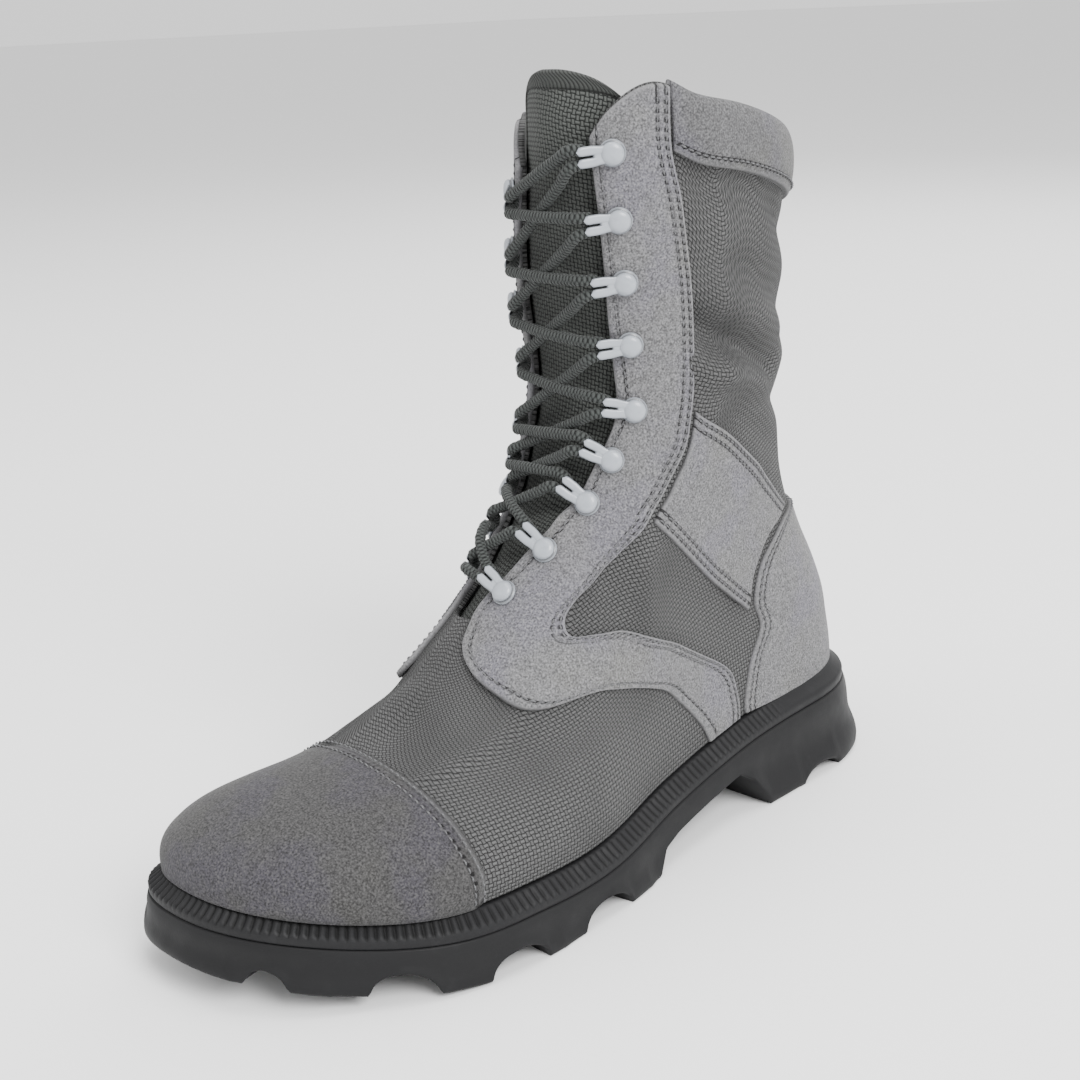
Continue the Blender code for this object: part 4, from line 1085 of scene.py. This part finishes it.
def eyestay_patch(side, word):
    """Facing with its wing: the table's edges, its front carried to the throat's own edge."""
    front_angle, front_rise = EYESTAY["front_angle"], EYESTAY["front_rise"]
    on_throat = front_rise > WING_TOP
    throat = smooth(front_rise, THROAT["rise"], THROAT[word]) + 0.5
    limit = 360 if side > 0 else MEDIAL_WING_ANGLE
    front_angle = np.where(on_throat, throat, np.minimum(front_angle, limit))
    back = (EYESTAY["back_angle"], np.clip(EYESTAY["back_rise"], 0, TOP_RISE))
    front = (front_angle, np.clip(front_rise, 0, TOP_RISE))
    rows = PANEL_ROWS * 2
    grid = between(back, front, rows, PANEL_ACROSS)
    angle, height = grid[..., 0], height_at(grid[..., 0] * side, grid[..., 1])
    line_back, line_front = true_edge(*back, side, rows), true_edge(*front, side, rows)
    share = eased(PANEL_ACROSS)[None, :, None]
    chord = line_back[:, None] * (1 - share) + line_front[:, None] * share
    direct = ease((np.minimum(line_back[:, 2], line_front[:, 2]) - WING_DIRECT) / 0.008)[:, None]
    angle = angle * direct + angle_of(chord, side) * (1 - direct)
    height = height * direct + chord[..., 2] * (1 - direct)
    return lambda offset: shell(angle * side, height, offset + 0 * angle)


def counter_patch():
    """Heel panel: its table's edge on both sides, with every row level but the lowest."""
    line = true_edge(COUNTER["angle"], np.maximum(COUNTER["rise"], 0.0), 1, PANEL_ROWS)
    angle = angle_of(line, 1)[:, None] * (1 - 2 * eased(PANEL_ROWS)[None, :])
    height = line[:, 2:3] + 0 * angle
    height[0] = height_at(angle[0], 0.0)
    return lambda offset: shell(angle, height, offset + 0 * angle)


def strap_patch(side):
    """Diagonal strap: a grid blended from its four edges."""
    edges = (STRAP_UPPER, STRAP_LOWER, STRAP_FRONT, STRAP_BACK)
    return patch(inside_edges(*edges, PANEL_ROWS, PANEL_ACROSS * 2), side)


def strip_patch():
    """Webbing down the back: one width either side of the back line, from the counter to the collar."""
    rises = np.linspace(COUNTER["rise"][-1] - 0.004, 0.965, 6)
    edge = np.full(6, STRIP_HALF_ANGLE)
    return patch(between((edge, rises), (-edge, rises), PANEL_ROWS, 14), 1)


def toe_form(offset):
    """Toe cap: arches of the last from the tip back to the seam, each a superellipse at its own length."""
    share = eased(PANEL_ROWS)[:, None]
    phi = np.linspace(0, np.pi, PANEL_ROWS)[None, :]
    y = along(float(np.mean(TOE_SEAM["station"]))) + 0 * (share + phi)
    seam_x = TOE_SEAM["across"][::-1] * BALL_WIDTH
    seam_y = along(TOE_SEAM["station"][::-1])
    for _ in range(10):
        far = toe_share(smooth(arch(y, phi)[..., 0], seam_x, seam_y))
        rounding = np.clip(1 - (1 - far**TOE_FORM) * share**2.4, 0, 1)
        y = TIP + TOE_ROUND * RIM_LENGTH * (1 - rounding ** (1 / TOE_FORM))
    points = arch(y, phi)
    normal = np.cross(np.gradient(points, axis=1), np.gradient(points, axis=0))
    size = np.linalg.norm(normal, axis=-1, keepdims=True)
    normal = np.where(size > 1e-12, normal / np.maximum(size, 1e-12), 0.0)
    normal[0] = (0, -1, 0)
    if np.sum((points - np.array([0.0, along(0.8), 0.03])) * normal) < 0:
        normal = -normal
    normal[0] = (0, -1, 0)
    return points + normal * np.asarray(offset, float)[..., None]


def arch(y, phi):
    """One cross-section of the toe: across and up from the rim's seat, round from one side to the other."""
    low = seat_height(y) + SEAT_GAP
    room = np.clip(1 - toe_share(y) ** TOE_FORM, 1e-6, 1)
    lift = (room * np.sin(phi) ** 2) ** (1 / CROWN_FORM)
    plan = (room * np.cos(phi) ** 2) ** (1 / PLAN_FORM)
    x = centre(y) - CROWN_SKEW * BALL_WIDTH * lift**2
    x = x + np.sign(np.cos(phi)) * (half_width(y) - FEATHER) * plan * bulge(lift)
    z = low + (crown_height(y) - low) * lift
    return np.stack(np.broadcast_arrays(x, y, z), axis=-1)


def soften(line, turns):
    """A closed line with its corners cut, turn by turn."""
    for _ in range(turns):
        following = np.roll(line, -1, axis=0)
        cut = [0.75 * line + 0.25 * following, 0.25 * line + 0.75 * following]
        line = np.stack(cut, axis=1).reshape(-1, 2)
    return line


def make_collar(sizes, material):
    """Padded band: one rounded section carried round the top edge."""
    pad = COLLAR_PAD
    inside = -WALL - COLLAR_CLEARANCE
    section = np.array([
        (0.0, -1.00), (0.60 * pad, -0.99), (0.92 * pad, -0.80), (1.10 * pad, -0.50),
        (0.98 * pad, -0.18), (0.45 * pad, 0.05), (-0.40 * pad, 0.09), (inside - 0.45 * pad, 0.04),
        (inside - 0.88 * pad, -0.24), (inside - 0.80 * pad, -0.71), (inside - 0.20 * pad, -0.95),
        (inside, -0.95), (0.2 * inside, -0.99),
    ])
    section = soften(section, 3)
    angles = np.linspace(-COLLAR_END, COLLAR_END, 220)[:, None]
    thin = 1 - 0.5 * ease((np.abs(angles) - 106) / 14)
    out = section[None, :, 0]
    out = np.where(out > 0, out * thin, np.where(out < inside, inside + (out - inside) * thin, out))
    points = shell(angles, top_height(angles) + section[None, :, 1] * COLLAR_DEPTH, out)
    rows, columns = points.shape[:2]
    ends = [list(range(columns))[::-1], list(range((rows - 1) * columns, rows * columns))]
    faces = quads(rows, columns, around=True).tolist() + ends
    outside = section[None, :, 0] + 0 * angles > 0
    down = np.abs(section[None, :, 1] + 1.0) * COLLAR_DEPTH + 0 * angles
    lengths = np.stack([run_length(points, 0), run_length(points, 1)], axis=-1)
    values = {
        "edge": np.where(outside, down, 0.02),
        "seam": np.where(outside, np.abs(down - COLLAR_SEAM), 1.0),
        "run": lengths[..., 0],
    }
    add_piece("collar_pad", points, faces, material, ["collar"], lengths, values)
    angles = angles[:, 0]
    height = top_height(angles) - COLLAR_DEPTH + COLLAR_SEAM
    line = shell(angles, height, 0.94 * pad * thin[:, 0])
    return [stitch_row(line, line - shell(angles, height), sizes)]


def make_tongue(sizes, colours):
    """Padded tongue: rows of the boot's form inside the wall, thicker at its taped edge."""
    rises = TONGUE["height"]
    z = smooth(eased(90) * (len(rises) - 1), np.arange(len(rises), dtype=float), rises)[:, None]
    share = eased(60)[None] * 2 - 1
    angle = smooth(z, rises, TONGUE["centre"]) + smooth(z, rises, TONGUE["half_angle"]) * share
    height = z * SHAFT_HEIGHT - TONGUE_CORNER * np.abs(share) ** 3 * ease((z - 0.92) / 0.09)
    down, up, left, right = edge_distance(shell(angle, height))
    near = np.minimum(up, np.minimum(left, right))
    tape = ease((TAPE_WIDTH - near) / 0.0012) * ease(near / 0.0010)
    face = -WALL - TONGUE_CLEARANCE - BINDING_STEP * (1 - tape)
    round_off = 0.5 * TONGUE_THICKNESS * (1 - np.sqrt(1 - (1 - np.clip(near / 0.0012, 0, 1)) ** 2))
    outer = shell(angle, height, face - round_off)
    inner = shell(angle, height, face - TONGUE_THICKNESS + round_off)
    values = {"edge": near, "tape_run": np.where(up < np.minimum(left, right), left, down)}
    material = tongue_finish(colours.tongue_cloth, sizes.weave)
    add_sheet("tongue_cloth", outer, inner, (left, down), values, material, ["tongue"])


def outline(stops, offset=0.0):
    """Plan of the rim at shares of each side, out by an offset, and each point's length from the heel."""
    t = np.linspace(0, np.pi, 961)
    front = along(1.0)
    y = (HEEL_BACK + front) / 2 + (HEEL_BACK - front) / 2 * np.cos(t)
    toe = np.clip((front + TOE_ROUND * RIM_LENGTH - y) / (TOE_ROUND * RIM_LENGTH), 0, 1)
    heel = np.clip((y - HEEL_BACK + HEEL_ROUND * RIM_LENGTH) / (HEEL_ROUND * RIM_LENGTH), 0, 1)
    wide = half_width(y) * superellipse(toe, OUT_FORM) * superellipse(heel, LEG_FORM)
    halves, lengths = [], []
    for side in (1, -1):
        line = np.column_stack([centre(y) + side * wide, y])
        length = run_length(line, 0)

        def at_length(at):
            return np.column_stack([np.interp(np.clip(at, 0, length[-1]), length, part) for part in line.T])

        at = np.asarray(stops) * length[-1]
        run = at_length(at + 0.002) - at_length(at - 0.002)
        run[0] = (side, 0)
        run[-1] = (-side, 0)
        normal = unit(np.column_stack([-run[:, 1], run[:, 0]]) * side)
        halves.append(at_length(at) + normal * np.reshape(np.broadcast_to(offset, len(at)), (-1, 1)))
        lengths.append(at)
    return [np.concatenate([part[0], part[1][-2:0:-1]]) for part in (halves, lengths)]


def make_welt(colours):
    """Ledge: a section carried round the rim, its slope ribbed from the toe to the waist."""
    stops = np.linspace(0, 1, WELT_STOPS)
    profile = table(
        "out up rib",
        (-0.0150, -WELT_THICKNESS, 0.0), (-0.0010, -WELT_THICKNESS, 0.0),
        (0.0004, -WELT_THICKNESS + 0.0001, 0.0), (0.0007, -WELT_THICKNESS + 0.0006, 0.0),
        (0.0007, -0.0012, 0.3), (0.0003, -0.0003, 0.8), (-0.0006, 0.0003, 1.0),
        (-0.0020, 0.0014, 1.0), (-0.0034, 0.0026, 1.0), (-0.0042, LEDGE_RISE, 0.4),
        (-0.0050, LEDGE_RISE, 0.0), (-0.0150, LEDGE_RISE - 0.0006, 0.0),
    )
    rings, painted_shade = [], []
    for out, up, rib in zip(*profile.values()):
        plan, length = outline(stops, out)
        ribbed = ease((station(plan[:, 1]) - 0.20) / 0.05)
        ribs = (np.abs(np.cos(np.pi * length / RIB_STEP)) - 0.6) * RIB_LIFT * rib * ribbed
        rings.append(np.column_stack([plan, rim_height(plan[:, 1]) + up + ribs]))
        # A mask of painted shade in the troughs between the ribs.
        painted_shade.append(np.abs(np.sin(np.pi * length / RIB_STEP)) ** 4 * rib * ribbed)
    points = np.stack(rings, axis=1)
    rows, columns = points.shape[:2]
    faces = quads(rows, columns, around=True, along_rows=True).tolist()
    material = rubber_finish("ledge_rubber", shade(colours.rubber, 1.3), True)
    values = {"painted_shade": np.stack(painted_shade, axis=1)}
    add_piece("welt_ledge", points, faces, material, ["welt"], None, values)


def toe_spring(y):
    """Height of the sole under the toe: a parabola from its start to the tip."""
    return TOE_SPRING * np.clip((station(y) - SPRING_START) / (1 - SPRING_START), 0, 1) ** 2


def underside(y):
    """Height of the sole's underside along its length: floor, waist and toe spring."""
    waist = np.interp(station(y), SHANK["station"][::-1], SHANK["height"][::-1], left=-1, right=-1)
    return np.maximum(toe_spring(y), HEEL_HEIGHT * waist)


def both_sides(values):
    """Mean of the two sides' values, as the outline takes one row for both."""
    other = np.concatenate([values[:1], values[: SOLE_STOPS - 1 : -1], values[SOLE_STOPS - 1 : SOLE_STOPS]])
    return 0.5 * (values[:SOLE_STOPS] + other)


def lug_height(y, length):
    """Height of the scalloped notches over the underside: half ellipses along the edge."""
    rise = np.zeros(len(y))
    half = len(y) // 2 + 1
    for side in (slice(0, half), slice(half - 1, None)):
        for place, wide, high in zip(*NOTCHES.values()):
            k = np.argmin(np.abs(station(y[side]) - place))
            away = (length[side] - length[side][k]) / (wide * RIM_LENGTH / 2)
            rise[side] = np.maximum(rise[side], high * np.sqrt(np.clip(1 - away**2, 0, 1)))
    return rise


def make_sole(colours):
    """Bottom unit: flared wall down to the lugs' scalloped edge, then the tread in to the middle line."""
    stops = np.linspace(0, 1, SOLE_STOPS)
    plan, length = outline(stops)
    y = plan[:, 1]
    flare = smooth(station(y), FLARE["station"], FLARE["width"])
    low = underside(y)
    edge = low + lug_height(y, length)
    top = rim_height(y) - WELT_THICKNESS - GAP
    spring = toe_spring(y)
    reach = (top - edge) / (top - spring)
    rings = [np.column_stack([outline(stops, -TREAD_INSET)[0], top])]
    for share in np.concatenate([[0.0, 0.01, 0.05, 0.08], np.linspace(0.12, 1, 16)]):
        down = np.where(share <= 0.1, share, 0.1 + (share - 0.1) / 0.9 * (reach - 0.1))
        down = np.minimum(down, reach)
        out = SOLE_STEP + smooth(down, SOLE_SIDE["down"], SOLE_SIDE["flare"]) * flare
        out = out - SOLE_ROUND * (share > 0.97)
        rings.append(np.column_stack([outline(stops, both_sides(out))[0], top + (spring - top) * down]))
    for inset, notch in ((0.001, 1), (0.004, 1), (0.008, 1), (LUG_DEPTH - 0.0004, 1), (LUG_DEPTH, 0)):
        plan = outline(stops, -inset + 0.6 * flare[:SOLE_STOPS])[0]
        rings.append(np.column_stack([plan, underside(plan[:, 1]) + (edge - low) * notch]))
    x, y, z = rings[-1].T
    for share in (0.85, 0.6, 0.35, 0.1, 0.0):
        rings.append(np.column_stack([centre(y) + (x - centre(y)) * share, y, z]))
    points = np.stack(rings, axis=0)
    faces = quads(*points.shape[:2], around=True).tolist()
    material = rubber_finish("sole_rubber", colours.rubber)
    add_piece("sole_unit", points, faces, material, ["outsole"])


def hook_places(word, side):
    """Seat, outward normal, direction to the throat and direction up the throat of each hook."""
    angle = HOOKS[word] * side
    seat = surface(angle, HOOKS["rise"], GAP + OVERLAY)
    normal = unit(seat - surface(angle, HOOKS["rise"]))
    up = np.gradient(seat, axis=0)
    up = unit(up - np.sum(up * normal, axis=1, keepdims=True) * normal)
    reach = np.cross(normal, up) * side
    reach *= np.sign(np.sum(reach * (surface(angle + 3 * side, HOOKS["rise"]) - seat), axis=1))[:, None]
    return seat, normal, reach, up


def hook_head():
    """The head's profile turned round its axis, with a mask of painted shade in its neck."""
    turn = np.linspace(0, 2 * np.pi, HEAD_SIDES + 1)[:-1]
    wide = HEAD["wide"][:, None] * HOOK_RADIUS
    high = HEAD["high"][:, None] * (HOOK_HEIGHT + HEAD_SEAT)
    painted_shade = np.exp(-(((HEAD["high"] - 0.33) / 0.11) ** 2))[:, None] + 0 * turn
    return wide * np.cos(turn), wide * np.sin(turn), high, painted_shade


def plate_section(rows, blunt):
    """Shares along a part of the plate, turns round it, and the closing of its rounded tip."""
    t = np.linspace(0, 1, rows)[:, None]
    turn = np.linspace(0, 2 * np.pi, PLATE_SIDES + 1)[None, :-1]
    return t, turn, np.sqrt(np.clip(1 - np.clip((t - 1 + blunt) / blunt, 0, 1) ** 2, 0.0, 1))


def plate_part(reach, across, thick, turn, painted_shade):
    """A part of the plate, which rises as it reaches out, with a mask of painted shade at its sides and
    underside.
    """
    z = PLATE_SEAT * HOOK_HEIGHT + HOOK_LIFT * reach**1.4 + PLATE_THICKNESS / 2 + thick * np.sin(turn)
    dark = np.clip(painted_shade[0] - painted_shade[1] * np.clip(np.sin(turn), 0, 1), 0, 1)
    return HOOK_REACH * reach, across, z, dark


def hook_prong(side):
    """One prong: an oval section from the head to a rounded tip, beside its twin."""
    t, turn, tip = plate_section(14, 0.12)
    apart = PLATE_WIDTH * (0.22 + 0.06 * ease((t - 0.3) / 0.3))
    thick = PLATE_THICKNESS * 0.62 * (0.35 + 0.65 * tip)
    across = side * apart + PLATE_WIDTH * 0.235 * tip * np.cos(turn)
    return plate_part(t, across, thick, turn, (1.25, 1.6))


def hook_web():
    """The plate between head and prongs: a flat oval section that ends where the prongs part."""
    t, turn, tip = plate_section(8, 0.2)
    across = PLATE_WIDTH * 0.44 * tip * np.sign(np.cos(turn)) * np.abs(np.cos(turn)) ** 0.5
    return plate_part(0.55 * t, across, PLATE_THICKNESS * 0.45 * tip, turn, (1.2, 1.9))


def make_hooks(colours):
    """Two rows of hooks: a head, a plate and two prongs, set at each hook's place."""
    material = hook_finish(colours.hook_paint)
    shape, faces = np.zeros((0, 4)), []
    for part in (hook_head(), hook_web(), hook_prong(1), hook_prong(-1)):
        grid = np.stack(np.broadcast_arrays(*part), axis=-1)
        faces.append(quads(*grid.shape[:2], around=True) + len(shape))
        shape = np.concatenate([shape, grid.reshape(-1, 4)])
    faces = np.concatenate(faces)
    for side, word in ((1, "lateral"), (-1, "medial")):
        seat, normal, reach, _ = hook_places(word, side)
        frames = np.stack([reach, np.cross(normal, reach), normal], axis=1)
        points = np.einsum("pk,nkc->npc", shape[:, :3], frames) + (seat + normal * HOOK_SEAT)[:, None]
        nodes = [f"hook_{word}_{number + 1}" for number in range(len(seat))]
        all_faces = copies(faces, len(shape), len(seat))
        values = {"painted_shade": np.tile(shape[:, 3], len(seat))}
        add_piece(f"hooks_{word}", points, all_faces, material, nodes, None, values)


def lace_route():
    """The lace's way: up from the low bar from side to side on one strand, and down on the other."""
    rows = {word: hook_places(word, side) for side, word in ((1, "lateral"), (-1, "medial"))}
    height = PLATE_SEAT * HOOK_HEIGHT + HOOK_LIFT + PLATE_THICKNESS / 2 - HEAD_SEAT

    def around_hook(word, number):
        seat, normal, reach, up = (value[number] for value in rows[word])
        shift, far, drop = (LACE_TURN[key][:, None] for key in ("shift", "far", "drop"))
        places = seat + reach * HOOK_REACH * far + up * LACE_SPACING * shift + normal * (height + drop)
        return np.stack([places, normal + 0 * places], axis=1)

    def crossing(start, end, bow):
        t = np.array([0.2, 0.4, 0.6, 0.8])[:, None, None]
        out = (start[1] + end[1]) / np.linalg.norm(start[1] + end[1])
        line = start * (1 - t) + end * t
        line[:, 0] += out * bow * np.sin(np.pi * t[:, 0])
        return line

    def strand(words):
        hooks = [around_hook(words[number % 2], number) for number in range(len(HOOKS["rise"]))]
        stops = hooks[:1]
        for number, following in enumerate(hooks[1:]):
            bow = OVER_BOW if words[number % 2] == "lateral" else UNDER_BOW
            stops += [crossing(hooks[number][-1], following[0], bow), following]
        return np.concatenate(stops)

    one, two = strand(("lateral", "medial")), strand(("medial", "lateral"))
    top, low = crossing(one[-1], two[-1], BAR_BOW), crossing(two[0], one[0], BAR_BOW)
    return np.concatenate([one, top, two[::-1], low, one[:1]])


def make_lace(sizes, colours):
    """A round braid along the lace's route, closed in itself behind the top hooks."""
    route = lace_route()
    length = run_length(route[:, 0], 0)
    at = np.linspace(0, length[-1], LACE_PLACES)[:-1]
    path = np.stack([smooth(at, length, part) for part in route[:, 0].T], axis=-1)
    out = np.stack([np.interp(at, length, part) for part in route[:, 1].T], axis=-1)
    run = unit(np.roll(path, -1, axis=0) - np.roll(path, 1, axis=0))
    side = unit(np.cross(run, out))
    turn = np.linspace(0, 2 * np.pi, LACE_SIDES + 1)[:-1]
    wave = LACE_ROUND * LACE_RADIUS * (1 + 0.05 * np.cos(2 * np.pi * at / sizes.braid / 2))
    points = path[:, None] + ring(turn, side, np.cross(side, run)) * wave[:, None, None]
    faces = quads(len(path), LACE_SIDES, around=True, along_rows=True).tolist()
    lengths = np.stack(np.broadcast_arrays(turn[None, :] * LACE_RADIUS, at[:, None]), axis=-1)
    nodes = [f"lace_crossing_{number}" for number in range(1, len(HOOKS["rise"]))]
    nodes += ["lace_bar_low", "lace_bar_top"]
    material = lace_finish(colours.lace_cord, sizes.braid, LACE_RADIUS)
    add_piece("lace_braid", points, faces, material, nodes, lengths)


class BOOT_OT_upper(bpy.types.Operator):
    """Adds the woven wall with its folds"""

    bl_idname = "boot.upper"
    bl_label = "Woven upper"

    def execute(self, context):
        make_upper(context.scene.boot_sizes, context.scene.boot_colours)
        return {"FINISHED"}


class BOOT_OT_panels(bpy.types.Operator):
    """Adds the suede panels, the toe cap, the back strip, the collar and all their stitches"""

    bl_idname = "boot.panels"
    bl_label = "Suede panels"

    def execute(self, context):
        sizes, colours = context.scene.boot_sizes, context.scene.boot_colours
        suede = suede_finish("suede", colours.suede, sizes.stitch_pitch)
        toe = suede_finish("toe_suede", colours.toe_suede, sizes.stitch_pitch, 0.14)
        thread = thread_finish(colours.thread)
        strip = weave_finish("strip_weave", shade(colours.nylon, 0.7), sizes.weave)
        panels = [("counter", counter_patch(), BOTH_SEAMS)]
        for side, word in ((1, "lateral"), (-1, "medial")):
            panels.append((f"eyestay_{word}", eyestay_patch(side, word), EYESTAY_SEAMS))
            panels.append((f"strap_{word}", strap_patch(side), BOTH_SEAMS))
        rows = []
        for name, form, seams in panels:
            make_panel(f"{name}_suede", form, sizes, suede, [name], seams)
            rows += panel_stitches(form, seams, sizes)
        add_stitches("panel_stitches", rows, thread)
        make_panel("toe_cap_suede", toe_form, sizes, toe, ["toe_cap"], TOE_SEAMS, (0, 2, 3))
        add_stitches("toe_stitches", panel_stitches(toe_form, TOE_SEAMS, sizes), thread)
        make_panel("back_strip_webbing", strip_patch(), sizes, strip, ["back_strip"], STRIP_SEAMS)
        pad = suede_finish("collar_suede", shade(colours.suede, 0.72), sizes.stitch_pitch)
        add_stitches("collar_stitches", make_collar(sizes, pad), thread)
        return {"FINISHED"}


class BOOT_OT_tongue(bpy.types.Operator):
    """Adds the tongue with its taped edge"""

    bl_idname = "boot.tongue"
    bl_label = "Tongue"

    def execute(self, context):
        make_tongue(context.scene.boot_sizes, context.scene.boot_colours)
        return {"FINISHED"}


class BOOT_OT_sole(bpy.types.Operator):
    """Adds the sole, its ledge and the insole's finish"""

    bl_idname = "boot.sole"
    bl_label = "Sole"

    def execute(self, context):
        colours = context.scene.boot_colours
        make_sole(colours)
        make_welt(colours)
        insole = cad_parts["insole"]
        insole.data.materials.clear()
        insole.data.materials.append(plain_finish("insole_cloth", colours.insole_cloth))
        return {"FINISHED"}


class BOOT_OT_hooks(bpy.types.Operator):
    """Adds the two rows of painted hooks"""

    bl_idname = "boot.hooks"
    bl_label = "Hooks"

    def execute(self, context):
        make_hooks(context.scene.boot_colours)
        return {"FINISHED"}


class BOOT_OT_lace(bpy.types.Operator):
    """Adds the lace, run through the hooks"""

    bl_idname = "boot.lace"
    bl_label = "Lace"

    def execute(self, context):
        make_lace(context.scene.boot_sizes, context.scene.boot_colours)
        return {"FINISHED"}


AIM = Vector((0.010, -0.100, 0.110))
AZIMUTH = 44.0
ELEVATION = 18.4
ROLL = -2.6
DISTANCE = 0.591
FOCAL_PIXELS = 1662
PICTURE = 1080
SENSOR = 36
PICTURE_CENTRE = (586, 557)
WORLD_LIGHT = 1.2
FLOOR_REACH = 30
LIGHTS = (
    ("key", (1.5, -0.4, 1.4), 1.0, 64.0),
    ("top", (0.0, 0.1, 2.2), 1.4, 32.0),
    ("front", (-0.9, -1.5, 1.1), 1.2, 10.0),
    ("back", (-0.5, 1.5, 1.4), 1.2, 18.0),
)


class BOOT_OT_stage(bpy.types.Operator):
    """Adds the floor, the soft lights and the camera"""

    bl_idname = "boot.stage"
    bl_label = "Stage"

    def execute(self, context):
        scene = context.scene
        far = FLOOR_REACH
        mesh = bpy.data.meshes.new("floor")
        mesh.from_pydata([(-far, -far, 0), (far, -far, 0), (far, far, 0), (-far, far, 0)], [], [(0, 1, 2, 3)])
        floor = bpy.data.objects.new("floor", mesh)
        mesh.materials.append(Finish("floor", scene.boot_colours.floor, 0.9).paint())
        scene.collection.objects.link(floor)
        world = bpy.data.worlds.new("studio")
        scene.world = world
        world.use_nodes = True
        sky = world.node_tree.nodes["Background"]
        sky.inputs["Color"].default_value = (1, 1, 1, 1)
        sky.inputs["Strength"].default_value = WORLD_LIGHT
        for name, place, size, power in LIGHTS:
            lamp = bpy.data.lights.new(name, "AREA")
            lamp.size = size
            lamp.energy = power
            holder = bpy.data.objects.new(name, lamp)
            holder.location = place
            holder.rotation_euler = (AIM - Vector(place)).to_track_quat("-Z", "Y").to_euler()
            scene.collection.objects.link(holder)
        turn, lift, roll = np.radians((AZIMUTH, ELEVATION, ROLL))
        back = Vector((np.sin(turn) * np.cos(lift), -np.cos(turn) * np.cos(lift), np.sin(lift)))
        right = Vector((np.cos(turn), np.sin(turn), 0))
        up = back.cross(right)
        across = right * np.cos(roll) + up * np.sin(roll)
        above = up * np.cos(roll) - right * np.sin(roll)
        lens = bpy.data.cameras.new("camera")
        lens.sensor_width = SENSOR
        lens.lens = FOCAL_PIXELS / PICTURE * SENSOR
        lens.shift_x = -(PICTURE_CENTRE[0] - PICTURE / 2) / PICTURE
        lens.shift_y = (PICTURE_CENTRE[1] - PICTURE / 2) / PICTURE
        camera = bpy.data.objects.new("camera", lens)
        turned = Matrix((across, above, back)).transposed().to_4x4()
        camera.matrix_world = Matrix.Translation(AIM + back * DISTANCE) @ turned
        scene.collection.objects.link(camera)
        scene.camera = camera
        return {"FINISHED"}


class BOOT_PT_pieces(bpy.types.Panel):
    """Lists the boot's pieces in the sidebar"""

    bl_idname = "BOOT_PT_pieces"
    bl_label = "Military boot"
    bl_space_type = "VIEW_3D"
    bl_region_type = "UI"
    bl_category = "Boot"

    def draw(self, context):
        for operator in OPERATORS:
            self.layout.operator(operator.bl_idname)
        for group in (context.scene.boot_sizes, context.scene.boot_colours):
            for key in group.__annotations__:
                self.layout.prop(group, key)


OPERATORS = (
    BOOT_OT_stage,
    BOOT_OT_upper,
    BOOT_OT_panels,
    BOOT_OT_tongue,
    BOOT_OT_sole,
    BOOT_OT_hooks,
    BOOT_OT_lace,
)
CLASSES = (BootSizes, BootColours) + OPERATORS + (BOOT_PT_pieces,)


def register():
    for kind in CLASSES:
        bpy.utils.register_class(kind)
    bpy.types.Scene.boot_sizes = bpy.props.PointerProperty(type=BootSizes)
    bpy.types.Scene.boot_colours = bpy.props.PointerProperty(type=BootColours)


def unregister():
    del bpy.types.Scene.boot_sizes
    del bpy.types.Scene.boot_colours
    for kind in reversed(CLASSES):
        bpy.utils.unregister_class(kind)


def main():
    register()
    for operator in OPERATORS:
        group, name = operator.bl_idname.split(".")
        getattr(getattr(bpy.ops, group), name)()


if __name__ == "__main__":
    main()
